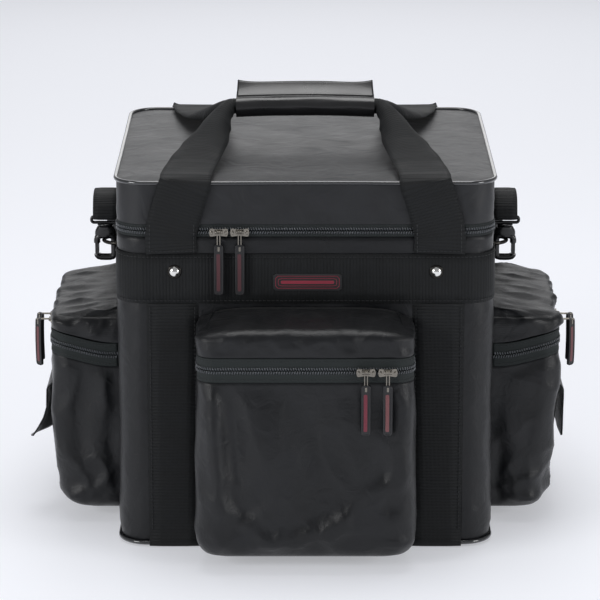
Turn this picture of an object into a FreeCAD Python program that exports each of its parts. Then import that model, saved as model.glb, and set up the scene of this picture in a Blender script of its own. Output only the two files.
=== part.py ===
import FreeCAD, Part

# Soft record bag for twelve-inch sleeves: a padded nylon box with a zipped lid, three bellows
# pockets, two webbing carry handles and a clip-on shoulder strap.
# Millimetres. +X is to the right of someone facing the front, +Y is to the back, +Z is up.
# The origin is on the floor under the middle of the box.

import math
import os
import re

import Sketcher

SIZES = {
    # Box: outside of the nylon
    "body_width": 370,
    "body_depth": 350,
    "body_corner": 28,
    "body_rim": 318.8,
    "lid_rise": 50,
    # Cloths and fillings
    "nylon": 1.4,
    "foam": 7,
    "lining_cloth": 0.9,
    "board": 3,
    "lid_foam": 6,
    "webbing": 1.8,
    "fit_gap": 0.3,
    "seam_gap": 0.3,
    # Zips: a tape half shows this much beside the teeth
    "main_tape": 5.9,
    "pocket_tape": 11.9,
    "coil_proud": 1.5,
    "coil_width": 2,
    # Piping
    "piping_proud": 3,
    "piping_width": 4.4,
    # Waist band, straps under the base, rivets, patch
    "band_bottom": 251.5,
    "band_width": 50,
    "strap_width": 50,
    "strap_gap": 0.5,
    "rivet_radius": 7,
    "rivet_height": 3.2,
    "rivet_rise": 32.3,
    "rivet_inset": 2.5,
    "patch_width": 67,
    "patch_height": 17,
    "patch_thick": 1.4,
    "patch_shift": 2,
    "patch_rise": 22,
    # Front pocket
    "pocket_cloth": 1.5,
    "pocket_corner": 18,
    "front_pocket_width": 210,
    "front_pocket_depth": 80,
    "front_pocket_bottom": 13,
    "front_pocket_split": 206,
    "front_pocket_top": 248,
    # Side pockets
    "side_pocket_width": 200,
    "side_pocket_depth": 72,
    "side_pocket_foot": 58,
    "side_pocket_bottom": 12,
    "side_pocket_split": 190,
    "side_pocket_top": 226,
    # Patch pockets on the side pockets
    "patch_pocket_width": 136,
    "patch_pocket_bottom": 20,
    "patch_pocket_top": 132,
    "patch_pocket_depth": 9,
    "flap_hinge": 137,
    "flap_reach": 13,
    "flap_drop": 58,
    "flap_thick": 2,
    # Zip sliders and their pulls
    "slider_length": 19,
    "slider_depth": 5,
    "slider_drop": 5.5,
    "slider_rise": 4,
    "slider_lip": 3.6,
    "ear_gap": 4.6,
    "ear_thick": 1.5,
    "pin_reach": 7,
    "pin_radius": 0.7,
    "eye_radius": 1.6,
    "pull_gap": 0.3,
    "link_length": 13,
    "link_thick": 1.4,
    "tab_width": 9,
    "tab_length": 50,
    "tab_thick": 2.8,
    "main_left_slider": -84.5,
    "main_right_slider": -64,
    "front_left_slider": 58,
    "front_right_slider": 79,
    "side_slider_spread": 10.5,
    # Rings, tabs and snap hooks at the sides
    "ring_rise": 20.5,
    "ring_radius": 17,
    "ring_rod": 1.9,
    "tab_web_width": 24,
    "tab_web_height": 26,
    "tab_web_depth": 7.4,
    "hook_gap": 0.5,
    "hook_width": 22,
    "hook_wall": 4.5,
    "hook_thick": 8,
    "hook_eye_height": 18,
    "hook_neck": 12,
    "hook_corner": 5,
    "gate_length": 12,
    "gate_seat": 0.8,
    "swivel_post": 3,
    "swivel_post_height": 2.5,
    "swivel_height": 9,
    "swivel_bar": 3,
    # Carry handles and grip
    "handle_web": 2,
    "front_grip_rise": 39,
    "front_grip_offset": -13,
    "back_grip_rise": 33,
    "back_grip_offset": 14,
    "grip_core": 12,
    "wrap_radius": 10.5,
    "wrap_cloth": 1.6,
    "wrap_half": 70,
    "grip_flap_length": 18,
    "grip_flap_thick": 1.6,
    # Shoulder strap
    "sling_width": 25,
    "sling_thick": 2,
    "pad_length": 190,
    "pad_width": 46,
    "pad_thick": 7,
}

# Derived places, as text that the sheet works out
HALF_WIDTH = "(body_width / 2)"
HALF_DEPTH = "(body_depth / 2)"
FLOOR_TOP = "webbing"
SPLIT = "(body_rim + main_tape)"
LID_EDGE = "(body_rim + 2 * main_tape + seam_gap)"
LID_TOP = "(body_rim + main_tape + lid_rise)"
BOARD_TOP = "(webbing + nylon + board)"
BAND_TOP = "(band_bottom + band_width)"
STRAP_CENTRE = "(front_pocket_width / 2 + strap_gap + strap_width / 2)"
RING_HEIGHT = "(band_bottom + ring_rise)"
TAB_FACE = "(body_width / 2 + webbing)"
RING_BAR = f"({TAB_FACE} + tab_web_depth / 2)"
HOOK_CENTRE = f"({TAB_FACE} + tab_web_depth + hook_gap + hook_width / 2)"

doc = FreeCAD.newDocument("RecordBag")
sheet = doc.addObject("Spreadsheet::Sheet", "Sizes")
nodes = []


def fill_sheet():
    """Write each driving size into the sheet under its name."""
    for row, (name, value) in enumerate(SIZES.items(), start=1):
        sheet.set(f"A{row}", name)
        sheet.set(f"B{row}", str(value))
        sheet.setAlias(f"B{row}", name)
    doc.recompute()


def cells(text):
    """The expression with each size's name written as its cell in the sheet."""
    def cell(word):
        return f"Sizes.{word.group()}" if word.group() in SIZES else word.group()

    return re.sub(r"[a-z]\w*", cell, text)


def number(text):
    """What an expression comes to with the sheet's present values."""
    return float(sheet.evalExpression(cells(text)))


def bind(item, **sizes):
    """Tie properties to expressions; a double underscore in a name stands for a dot."""
    for name, text in sizes.items():
        item.setExpression(name.replace("__", "."), cells(text))


def place(body, x="0", y="0", z="0", turn=0):
    """Stand a sub-part at a bound point, turned about the upright axis."""
    body.Placement = FreeCAD.Placement(FreeCAD.Vector(), FreeCAD.Rotation(FreeCAD.Vector(0, 0, 1), turn))
    bind(body, Placement__Base__x=x, Placement__Base__y=y, Placement__Base__z=z)
    return body


def new_body(name):
    """An empty body with its own label."""
    body = doc.addObject("PartDesign::Body", name)
    body.Label = name
    return body


def keep(piece):
    """Note a finished sub-part as one that gets a file of its own."""
    nodes.append(piece)
    return piece


def group(name, members):
    """One node that holds several separate solids."""
    compound = doc.addObject("Part::Compound", name)
    compound.Label = name
    compound.Links = members
    return keep(compound)


def attach(item, body, plane, x="0", y="0", z="0", turn=0):
    """Seat a sketch or primitive on one of its body's planes, shifted in that plane's own axes."""
    item.AttachmentSupport = [(origin, "") for origin in body.Origin.OriginFeatures if origin.Role == plane]
    item.MapMode = "FlatFace"
    about_z = FreeCAD.Rotation(FreeCAD.Vector(0, 0, 1), turn)
    item.AttachmentOffset = FreeCAD.Placement(FreeCAD.Vector(), about_z)
    bind(item, AttachmentOffset__Base__x=x, AttachmentOffset__Base__y=y, AttachmentOffset__Base__z=z)
    return item


def new_sketch(body, plane, lift="0"):
    """An empty sketch on a plane of the body, lifted along the plane's normal."""
    return attach(body.newObject("Sketcher::SketchObject", "outline"), body, plane, z=lift)


def fix(sketch, kind, line, text):
    """Hold the start of a line at a bound distance from the sketch's origin."""
    row = sketch.addConstraint(Sketcher.Constraint(kind, -1, 1, line, 1, number(text)))
    sketch.setExpression(f"Constraints[{row}]", cells(text))


def draw_polygon(sketch, points):
    """Closed outline through (x, y) points, each held by its own pair of distances."""
    spots = [FreeCAD.Vector(number(x), number(y), 0) for x, y in points]
    lines = []
    for start, end in zip(spots, spots[1:] + spots[:1]):
        lines.append(sketch.addGeometry(Part.LineSegment(start, end), False))
    for line, after in zip(lines, lines[1:] + lines[:1]):
        sketch.addConstraint(Sketcher.Constraint("Coincident", line, 2, after, 1))
    for line, (x, y) in zip(lines, points):
        fix(sketch, "DistanceX", line, x)
        fix(sketch, "DistanceY", line, y)
    return sketch


def draw_rounded(sketch, corners):
    """Closed outline of level and upright sides, anticlockwise; each corner is (x, y, radius)."""
    spots = [(FreeCAD.Vector(number(x), number(y), 0), number(radius)) for x, y, radius in corners]
    ways = [(spots[(i + 1) % len(spots)][0] - spots[i][0]).normalize() for i in range(len(spots))]
    lines = []
    for i, (spot, radius) in enumerate(spots):
        end, end_radius = spots[(i + 1) % len(spots)]
        side = Part.LineSegment(spot + ways[i] * radius, end - ways[i] * end_radius)
        lines.append(sketch.addGeometry(side, False))
    for i, (spot, radius) in enumerate(spots):
        if radius:
            round_corner(sketch, lines[i - 1], lines[i], spot, ways[i - 1], ways[i], corners[i][2])
        else:
            sketch.addConstraint(Sketcher.Constraint("Coincident", lines[i - 1], 2, lines[i], 1))
    for i, (x, y, _) in enumerate(corners):
        level = abs(ways[i].x) > abs(ways[i].y)
        sketch.addConstraint(Sketcher.Constraint("Horizontal" if level else "Vertical", lines[i]))
        fix(sketch, "DistanceY" if level else "DistanceX", lines[i], y if level else x)
    return sketch


def round_corner(sketch, before, after, spot, way_in, way_out, radius):
    """Join two sides of an outline by a tangent quarter circle of a bound radius."""
    size = number(radius)
    centre = spot - way_in * size + way_out * size
    start = math.atan2(-way_out.y, -way_out.x)
    circle = Part.Circle(centre, FreeCAD.Vector(0, 0, 1), size)
    arc = sketch.addGeometry(Part.ArcOfCircle(circle, start, start + math.pi / 2), False)
    sketch.addConstraint(Sketcher.Constraint("Tangent", before, 2, arc, 1))
    sketch.addConstraint(Sketcher.Constraint("Tangent", arc, 2, after, 1))
    row = sketch.addConstraint(Sketcher.Constraint("Radius", arc, size))
    sketch.setExpression(f"Constraints[{row}]", cells(radius))


def block_outline(half_x, half_y, corner):
    """Corners of a rounded rectangle about the origin."""
    return [
        (f"-({half_x})", f"-({half_y})", corner),
        (half_x, f"-({half_y})", corner),
        (half_x, half_y, corner),
        (f"-({half_x})", half_y, corner),
    ]


def pad(body, sketch, length, both_ways=False, backwards=False):
    """Extrude a sketch by a bound length."""
    feature = body.newObject("PartDesign::Pad", "pad")
    feature.Profile = sketch
    feature.Midplane = both_ways
    feature.Reversed = backwards
    bind(feature, Length=length)
    sketch.Visibility = False
    return feature


def pocket(body, sketch, length, both_ways=False, backwards=False):
    """Cut a sketch's shape out of the body by a bound length."""
    feature = body.newObject("PartDesign::Pocket", "pocket")
    feature.Profile = sketch
    feature.Midplane = both_ways
    feature.Reversed = backwards
    bind(feature, Length=length)
    sketch.Visibility = False
    return feature


def primitive(body, kind, plane="XY_Plane", at=("0", "0", "0"), turn=0, **sizes):
    """Add a PartDesign primitive with bound sizes at a bound place."""
    feature = body.newObject(f"PartDesign::{kind}", kind.lower())
    bind(feature, **sizes)
    return attach(feature, body, plane, *at, turn=turn)


def round_edges(body, radius, wanted):
    """Fillet every edge of the body's tip that the test picks."""
    doc.recompute()
    base = body.Tip
    names = [f"Edge{i}" for i, edge in enumerate(base.Shape.Edges, start=1) if wanted(edge)]
    feature = body.newObject("PartDesign::Fillet", "fillet")
    feature.Base = (base, names)
    bind(feature, Radius=radius)
    return feature


def ring(name, outside, inside, bottom, height):
    """Upright wall between two rounded rectangles, each given as (half_x, half_y, corner)."""
    body = new_body(name)
    sketch = new_sketch(body, "XY_Plane", bottom)
    draw_rounded(sketch, block_outline(*outside))
    draw_rounded(sketch, block_outline(*inside))
    pad(body, sketch, height)
    return body


def inset(depth):
    """Half sizes and corner of the box's plan, drawn in by a depth."""
    return (f"{HALF_WIDTH} - ({depth})", f"{HALF_DEPTH} - ({depth})", f"body_corner - ({depth})")


def plate(name, depth, bottom, thick):
    """Flat rounded plate of the box's plan, drawn in by a depth."""
    body = new_body(name)
    sketch = draw_rounded(new_sketch(body, "XY_Plane", bottom), block_outline(*inset(depth)))
    pad(body, sketch, thick)
    return body


# ---- Box ----------------------------------------------------------------------------------


def make_walls():
    """Nylon, foam and lining of the four walls, with the stiff board and nylon of the base."""
    keep(plate("base_panel", "0", FLOOR_TOP, "nylon"))
    keep(plate("base_board", "nylon", "webbing + nylon", "board"))
    wall_bottom = "webbing + nylon"
    keep(ring("wall_panel", inset("0"), inset("nylon"), wall_bottom, f"body_rim - ({wall_bottom})"))
    foam_height = f"body_rim - {BOARD_TOP}"
    keep(ring("wall_padding", inset("nylon"), inset("nylon + foam"), BOARD_TOP, foam_height))
    lining = plate("lining", "nylon + foam", BOARD_TOP, foam_height)
    hollow = new_sketch(lining, "XY_Plane", f"{BOARD_TOP} + lining_cloth")
    draw_rounded(hollow, block_outline(*inset("nylon + foam + lining_cloth")))
    pocket(lining, hollow, foam_height, backwards=True)
    keep(lining)


def make_piping(name, bottom):
    """Round welt that stands proud of the box's seam."""
    body = ring(name, inset("-piping_proud"), inset("0"), bottom, "piping_width")
    reach = number("body_width / 2 + piping_proud / 2")
    depth_reach = number("body_depth / 2 + piping_proud / 2")
    low, high = number(bottom), number(f"{bottom} + piping_width")
    corner = number("body_corner")

    def on_outer_rim(edge):
        middle = edge.CenterOfMass
        at_rim = min(abs(middle.z - low), abs(middle.z - high)) < 1e-3
        beyond = abs(middle.x) > reach or abs(middle.y) > depth_reach
        in_corner = abs(middle.x) > reach - corner and abs(middle.y) > depth_reach - corner
        is_arc = edge.Curve.TypeId == "Part::GeomCircle"
        outer_arc = in_corner and is_arc and edge.Curve.Radius > corner + 1e-3
        return at_rim and (beyond or outer_arc)

    round_edges(body, "piping_width * 0.45", on_outer_rim)
    return keep(body)


def make_band():
    """Waist band, the two straps that run down both faces and under the base, rivets and patch."""
    keep(ring("waist_band", inset("-webbing"), inset("0"), "band_bottom", "band_width"))
    straps = []
    for side, name in ((-1, "left_base_strap"), (1, "right_base_strap")):
        body = new_body(name)
        sketch = new_sketch(body, "YZ_Plane", f"{side} * {STRAP_CENTRE}")
        draw_polygon(sketch, strap_outline())
        pad(body, sketch, "strap_width", both_ways=True)
        straps.append(body)
    group("base_straps", straps)
    rivets = []
    for side in (-1, 1):
        for face in (-1, 1):
            body = new_body("rivet")
            dome = new_sketch(body, "XY_Plane")
            draw_polygon(dome, [("0", "0"), ("rivet_radius", "0"), ("rivet_radius", "0.3 * rivet_height"),
                                ("0.62 * rivet_radius", "0.85 * rivet_height"), ("0", "rivet_height")])
            turned = body.newObject("PartDesign::Revolution", "dome")
            turned.Profile = dome
            turned.ReferenceAxis = (dome, ["V_Axis"])
            turned.Angle = 360
            place(body, f"{side} * ({STRAP_CENTRE} - rivet_inset)", f"{face} * ({HALF_DEPTH} + webbing)",
                  "band_bottom + rivet_rise", turn=0 if face > 0 else 180)
            rivets.append(body)
    group("rivets", rivets)
    patch = new_body("label_patch")
    sketch = new_sketch(patch, "XZ_Plane")
    draw_rounded(sketch, block_outline("patch_width / 2", "patch_height / 2", "2 * patch_thick"))
    pad(patch, sketch, "patch_thick")
    place(patch, "patch_shift", f"-({HALF_DEPTH} + webbing)", "band_bottom + patch_rise")
    keep(patch)


def strap_outline():
    """Side view of a strap: down the front, out round the base welt, under the base and up the back."""
    proud = "piping_proud + fit_gap"
    welt = "webbing + piping_width"
    inner = [("0", "band_bottom"), ("0", f"{welt} + 3 * piping_proud"), (proud, welt), (proud, "webbing")]
    outer = [("webbing", "band_bottom"), ("webbing", f"{welt} + 3 * piping_proud + webbing / 2"),
             (f"{proud} + webbing", f"{welt} + webbing / 2"), (f"{proud} + webbing", "0")]
    front_outer = [(f"-({HALF_DEPTH} + {out})", height) for out, height in outer]
    back_outer = [(f"{HALF_DEPTH} + {out}", height) for out, height in outer[::-1]]
    back_inner = [(f"{HALF_DEPTH} + {out}", height) for out, height in inner]
    front_inner = [(f"-({HALF_DEPTH} + {out})", height) for out, height in inner[::-1]]
    return front_outer + back_outer + back_inner + front_inner


# ---- Lid and main zip ---------------------------------------------------------------------


def make_cup(name, depth, roof, wall):
    """Upside-down tray of the lid: its plan drawn in by a depth, its roof and skirt of one wall."""
    body = new_body(name)
    block = draw_rounded(new_sketch(body, "XY_Plane", LID_EDGE), block_outline(*inset(depth)))
    pad(body, block, f"{LID_TOP} - {LID_EDGE} - ({roof})")
    hollow = draw_rounded(new_sketch(body, "XY_Plane", LID_EDGE), block_outline(*inset(f"{depth} + {wall}")))
    pocket(body, hollow, f"{LID_TOP} - {LID_EDGE} - ({roof}) - {wall}", backwards=True)
    return keep(body)


def zip_ring(name, outside, inside, bottom, height):
    """Band round the front, sides and back corners, open along the straight of the back."""
    body = ring(name, inset(outside), inset(inside), bottom, height)
    straight = f"({HALF_WIDTH} - body_corner)"
    primitive(body, "SubtractiveBox", at=(f"-{straight}", "0", bottom), Length=f"2 * {straight}",
              Width=f"{HALF_DEPTH} + 2 * coil_proud", Height=height)
    return body


def make_main_zip():
    """Both halves of the main zip, each a tape with its row of teeth, and the cloth hinge at the back."""
    halves = (("main_zip_lower", "body_rim", f"{SPLIT} - coil_width"),
              ("main_zip_upper", f"{SPLIT} + seam_gap", f"{SPLIT} + seam_gap"))
    for name, tape_bottom, coil_bottom in halves:
        tape = zip_ring(f"{name}_tape", "0", "nylon", tape_bottom, "main_tape")
        coil = zip_ring(f"{name}_coil", "-coil_proud", "0", coil_bottom, "coil_width")
        group(name, [tape, coil])
    hinge = new_body("lid_hinge_tape")
    straight = f"({HALF_WIDTH} - body_corner - fit_gap)"
    primitive(hinge, "AdditiveBox", at=(f"-{straight}", f"{HALF_DEPTH} - nylon", "body_rim"),
              Length=f"2 * {straight}", Width="nylon", Height="2 * main_tape + seam_gap")
    keep(hinge)


def make_lid():
    """Nylon lid, its padded lining and the welt round its top edge."""
    make_cup("lid_shell", "0", "0", "nylon")
    make_cup("lid_lining", "nylon", "nylon", "lid_foam")
    make_piping("lid_piping", f"{LID_TOP} - piping_width")


# ---- Bellows pockets ----------------------------------------------------------------------
# Each is drawn against a wall that lies along its own X, with -Y pointing away from the box.

POCKETS = {
    "front": {"x": "0", "y": f"-{HALF_DEPTH}", "turn": 0, "foot": "front_pocket_depth"},
    "left": {"x": f"-{HALF_WIDTH}", "y": "0", "turn": -90, "foot": "side_pocket_foot"},
    "right": {"x": HALF_WIDTH, "y": "0", "turn": 90, "foot": "side_pocket_foot"},
}


def pocket_size(where, size):
    """Name of one of a pocket's sizes in the sheet."""
    kind = "front" if where == "front" else "side"
    return f"{kind}_pocket_{size}"


def pocket_outline(half, depth, corner, near="0"):
    """Corners of a pocket's plan: square against the wall, rounded away from it."""
    return [(f"-({half})", f"-({depth})", corner), (half, f"-({depth})", corner), (half, near, "0"),
            (f"-({half})", near, "0")]


def stand(body, where):
    """Seat a piece drawn in a pocket's own axes against that pocket's wall."""
    spot = POCKETS[where]
    return place(body, spot["x"], spot["y"], turn=spot["turn"])


def draw_pocket_plan(body, where, lift, depth, drawn_in="0", near="0"):
    """Sketch of a pocket's plan at a height, drawn in all round by an amount."""
    half = f"{pocket_size(where, 'width')} / 2 - ({drawn_in})"
    outline = pocket_outline(half, f"{depth} - ({drawn_in})", f"pocket_corner - ({drawn_in})", near)
    return draw_rounded(new_sketch(body, "XY_Plane", lift), outline)


def pocket_band(name, where, bottom, height, drawn_in="0", cloth="pocket_cloth", near="0"):
    """Upright cloth round a pocket's three free sides."""
    body = new_body(name)
    depth = pocket_size(where, "depth")
    pad(body, draw_pocket_plan(body, where, bottom, depth, drawn_in, near), height)
    inner = draw_pocket_plan(body, where, bottom, depth, f"{drawn_in} + {cloth}", near="1")
    pocket(body, inner, height, backwards=True)
    return stand(body, where)


def make_pocket_box(where):
    """Body of a bellows pocket: floor and three sides, open at the top and against the wall."""
    body = new_body(f"{where}_pocket")
    bottom = pocket_size(where, "bottom")
    depth = pocket_size(where, "depth")
    foot = POCKETS[where]["foot"]
    top = f"{pocket_size(where, 'split')} - pocket_tape"
    shell = body.newObject("PartDesign::AdditiveLoft", "shell")
    shell.Profile = draw_pocket_plan(body, where, bottom, foot)
    shell.Sections = [draw_pocket_plan(body, where, top, depth)]
    hollow = body.newObject("PartDesign::SubtractiveLoft", "hollow")
    hollow.Profile = draw_pocket_plan(body, where, f"{bottom} + pocket_cloth", foot, "pocket_cloth", "1")
    hollow.Sections = [draw_pocket_plan(body, where, top, depth, "pocket_cloth", "1")]
    keep(stand(body, where))


def make_pocket_zip(where):
    """Two halves of a pocket's zip, each a tape with its row of teeth."""
    split = pocket_size(where, "split")
    halves = (("lower", f"{split} - pocket_tape", f"{split} - coil_width"),
              ("upper", f"{split} + seam_gap", f"{split} + seam_gap"))
    for half, tape_bottom, coil_bottom in halves:
        name = f"{where}_zip_{half}"
        tape = pocket_band(f"{name}_tape", where, tape_bottom, "pocket_tape")
        coil = pocket_band(f"{name}_coil", where, coil_bottom, "coil_width", "-coil_proud", "coil_proud",
                           near="-(webbing + coil_proud)")
        group(name, [tape, coil])


def make_pocket_cap(where):
    """Hood over a pocket, sewn to the wall along its top back edge."""
    bottom = f"{pocket_size(where, 'split')} + seam_gap + pocket_tape"
    height = f"{pocket_size(where, 'top')} - ({bottom})"
    depth = pocket_size(where, "depth")
    body = new_body(f"{where}_pocket_cap")
    pad(body, draw_pocket_plan(body, where, bottom, depth), height)
    inner = draw_pocket_plan(body, where, bottom, depth, "pocket_cloth", near="1")
    pocket(body, inner, f"{height} - pocket_cloth", backwards=True)
    keep(stand(body, where))


def side_face(height):
    """How far a side pocket's outer face stands from the wall at a height."""
    top = "(side_pocket_split - pocket_tape)"
    slope = f"(side_pocket_depth - side_pocket_foot) / ({top} - side_pocket_bottom)"
    return f"(side_pocket_foot + ({height} - side_pocket_bottom) * {slope})"


def side_profile(points):
    """Side view points of a piece on a side pocket's outer face: (distance out from the face, height)."""
    return [(f"-({side_face(height)} + {out})", height) for out, height in points]


def make_patch_pocket(where):
    """Flat pocket sewn on a side pocket's outer face: a front, a floor and two ends, open at the top."""
    body = new_body(f"{where}_patch_pocket")
    low, high = "patch_pocket_bottom", "patch_pocket_top"
    shape = [("0", low), ("patch_pocket_depth", low), ("patch_pocket_depth", high), ("0", high)]
    sketch = draw_polygon(new_sketch(body, "YZ_Plane"), side_profile(shape))
    pad(body, sketch, "patch_pocket_width", both_ways=True)
    cloth = "pocket_cloth"
    room = [("-1", f"{low} + {cloth}"), (f"patch_pocket_depth - {cloth}", f"{low} + {cloth}"),
            (f"patch_pocket_depth - {cloth}", f"{high} + 1"), ("-1", f"{high} + 1")]
    hollow = draw_polygon(new_sketch(body, "YZ_Plane"), side_profile(room))
    pocket(body, hollow, f"patch_pocket_width - 2 * {cloth}", both_ways=True)
    keep(stand(body, where))


def make_side_flap(where):
    """Flap that hangs over a patch pocket's mouth from a seam on the side pocket's face."""
    body = new_body(f"{where}_flap")
    shoulder = "patch_pocket_depth + fit_gap"
    tip = "(flap_hinge - flap_drop)"
    lap = "(patch_pocket_top + fit_gap)"
    shape = [("fit_gap", "flap_hinge"), (shoulder, lap), ("flap_reach", tip),
             ("flap_reach + flap_thick", tip), (f"{shoulder} + flap_thick", f"{lap} + flap_thick"),
             ("2 * flap_thick", "flap_hinge + flap_thick"), ("fit_gap", "flap_hinge + flap_thick")]
    sketch = draw_polygon(new_sketch(body, "YZ_Plane"), side_profile(shape))
    pad(body, sketch, "patch_pocket_width + 2 * flap_thick", both_ways=True)
    keep(stand(body, where))


def make_pockets():
    """Three bellows pockets with their zips and hoods, and the patch pockets with their flaps."""
    for where in POCKETS:
        make_pocket_box(where)
        make_pocket_zip(where)
        make_pocket_cap(where)
    for where in ("left", "right"):
        make_patch_pocket(where)
        make_side_flap(where)


# ---- Zip sliders and pulls ----------------------------------------------------------------
# Each is drawn with the zip along its own X, the teeth's split at Z = 0 and -Y away from the tape.


def make_slider(name):
    """Slider that rides on the lower teeth, with two ears and a pin for its pull."""
    body = new_body(name)
    teeth = "-(coil_width + fit_gap)"
    clear = "-(coil_proud + fit_gap)"
    shape = [("-fit_gap", "-slider_drop"), ("-fit_gap", teeth), (clear, teeth), (clear, "0"),
             ("-slider_lip", "0"), ("-slider_lip", "slider_rise"), ("-slider_depth", "slider_rise"),
             ("-slider_depth", "-slider_drop")]
    pad(body, draw_polygon(new_sketch(body, "YZ_Plane"), shape), "slider_length", both_ways=True)
    ear_tip = "(pin_reach + 2 * pin_radius)"
    for start in ("ear_gap / 2", "-(ear_gap / 2 + ear_thick)"):
        primitive(body, "AdditiveBox", at=(start, f"-{ear_tip}", "-eye_radius"), Length="ear_thick",
                  Width=f"{ear_tip} - slider_depth", Height="2 * eye_radius")
    primitive(body, "AdditiveCylinder", "YZ_Plane", ("-pin_reach", "0", "-(ear_gap / 2 + ear_thick / 2)"),
              Radius="pin_radius", Height="ear_gap + ear_thick")
    return body


def make_pull(name, outward):
    """Pull of a slider: a metal link round the pin and a rubber tab at the link's far end."""
    link = new_body(f"{name}_link")
    half = "(ear_gap / 2 - pull_gap)"
    primitive(link, "AdditiveCylinder", "YZ_Plane", ("-pin_reach", "0", f"-{half}"), Radius="eye_radius",
              Height=f"2 * {half}")
    if outward:
        corner = (f"-{half}", "-(pin_reach + link_length)", "-link_thick / 2")
        primitive(link, "AdditiveBox", at=corner, Length=f"2 * {half}", Width="link_length",
                  Height="link_thick")
        tab_centre, tab_top = "(pin_reach + link_length - tab_thick / 2)", "(-link_thick / 2)"
    else:
        corner = (f"-{half}", "-(pin_reach + link_thick / 2)", "-link_length")
        primitive(link, "AdditiveBox", at=corner, Length=f"2 * {half}", Width="link_thick",
                  Height="link_length")
        tab_centre, tab_top = "pin_reach", "(-link_length)"
    primitive(link, "SubtractiveCylinder", "YZ_Plane", ("-pin_reach", "0", f"-{half} - 1"),
              Radius="pin_radius + pull_gap", Height=f"2 * {half} + 2")
    tab = new_body(f"{name}_tab")
    shape = [("-tab_width / 2", f"{tab_top} - tab_length", "tab_width / 3"),
             ("tab_width / 2", f"{tab_top} - tab_length", "tab_width / 3"),
             ("tab_width / 2", tab_top, "0"), ("-tab_width / 2", tab_top, "0")]
    sketch = draw_rounded(new_sketch(tab, "XZ_Plane", f"{tab_centre} - tab_thick / 2"), shape)
    pad(tab, sketch, "tab_thick")
    return link, tab


def make_fastener(name, where, along, split, outward=False):
    """One slider and its pull, at a distance along the zip of the main opening or of a pocket."""
    spot = POCKETS[where]
    reach = "0" if split == SPLIT else pocket_size(where, "depth")
    along_x, along_y = {0: ("1", "0"), -90: ("0", "-1"), 90: ("0", "1")}[spot["turn"]]
    out_x, out_y = {0: ("0", "-1"), -90: ("-1", "0"), 90: ("1", "0")}[spot["turn"]]
    x = f"{spot['x']} + {along_x} * ({along}) + {out_x} * {reach}"
    y = f"{spot['y']} + {along_y} * ({along}) + {out_y} * {reach}"
    slider = place(make_slider(f"{name}_slider"), x, y, split, turn=spot["turn"])
    keep(slider)
    pieces = [place(piece, x, y, split, turn=spot["turn"]) for piece in make_pull(f"{name}_pull", outward)]
    group(f"{name}_pull", pieces)


def make_fasteners():
    """Two sliders that meet head to head on the main zip and on each pocket's zip."""
    make_fastener("main_left", "front", "main_left_slider", SPLIT)
    make_fastener("main_right", "front", "main_right_slider", SPLIT)
    make_fastener("front_pocket_left", "front", "front_left_slider", "front_pocket_split")
    make_fastener("front_pocket_right", "front", "front_right_slider", "front_pocket_split")
    for where, front in (("left", 1), ("right", -1)):
        for name, way in (("front", front), ("back", -front)):
            make_fastener(f"{where}_pocket_{name}", where, f"{way} * side_slider_spread", "side_pocket_split",
                          outward=True)


# ---- Rings, tabs and snap hooks -----------------------------------------------------------


def make_ring_tab(side):
    """Folded webbing tab sewn to the waist band, with the ring's bar through it."""
    body = new_body("ring_tab")
    primitive(body, "AdditiveBox", at=("-tab_web_depth / 2", "-tab_web_width / 2", "-tab_web_height / 2"),
              Length="tab_web_depth", Width="tab_web_width", Height="tab_web_height")
    primitive(body, "SubtractiveCylinder", "XZ_Plane", ("0", "0", "-tab_web_width"), Radius="ring_rod + fit_gap",
              Height="2 * tab_web_width")
    return place(body, f"{side} * {RING_BAR}", "0", RING_HEIGHT)


def make_ring(side):
    """Steel D-ring: a straight bar closed by half a hoop."""
    body = new_body("d_ring")
    primitive(body, "AdditiveCylinder", "XZ_Plane", ("0", "0", "-ring_radius"), Radius="ring_rod",
              Height="2 * ring_radius")
    hoop = primitive(body, "AdditiveTorus", turn=-90, Radius1="ring_radius", Radius2="ring_rod")
    hoop.Angle3 = 180
    for end in ("ring_radius", "-ring_radius"):
        primitive(body, "AdditiveSphere", at=("0", end, "0"), Radius="ring_rod")
    return place(body, f"{side} * {RING_BAR}", "0", RING_HEIGHT, turn=0 if side > 0 else 180)


EYE_TOP = "(ring_rod + fit_gap)"
EYE_BOTTOM = f"({EYE_TOP} - hook_eye_height)"
HOOK_TOP = f"({EYE_TOP} + hook_neck)"
GATE_LOW = f"({EYE_BOTTOM} + gate_seat)"


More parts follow.
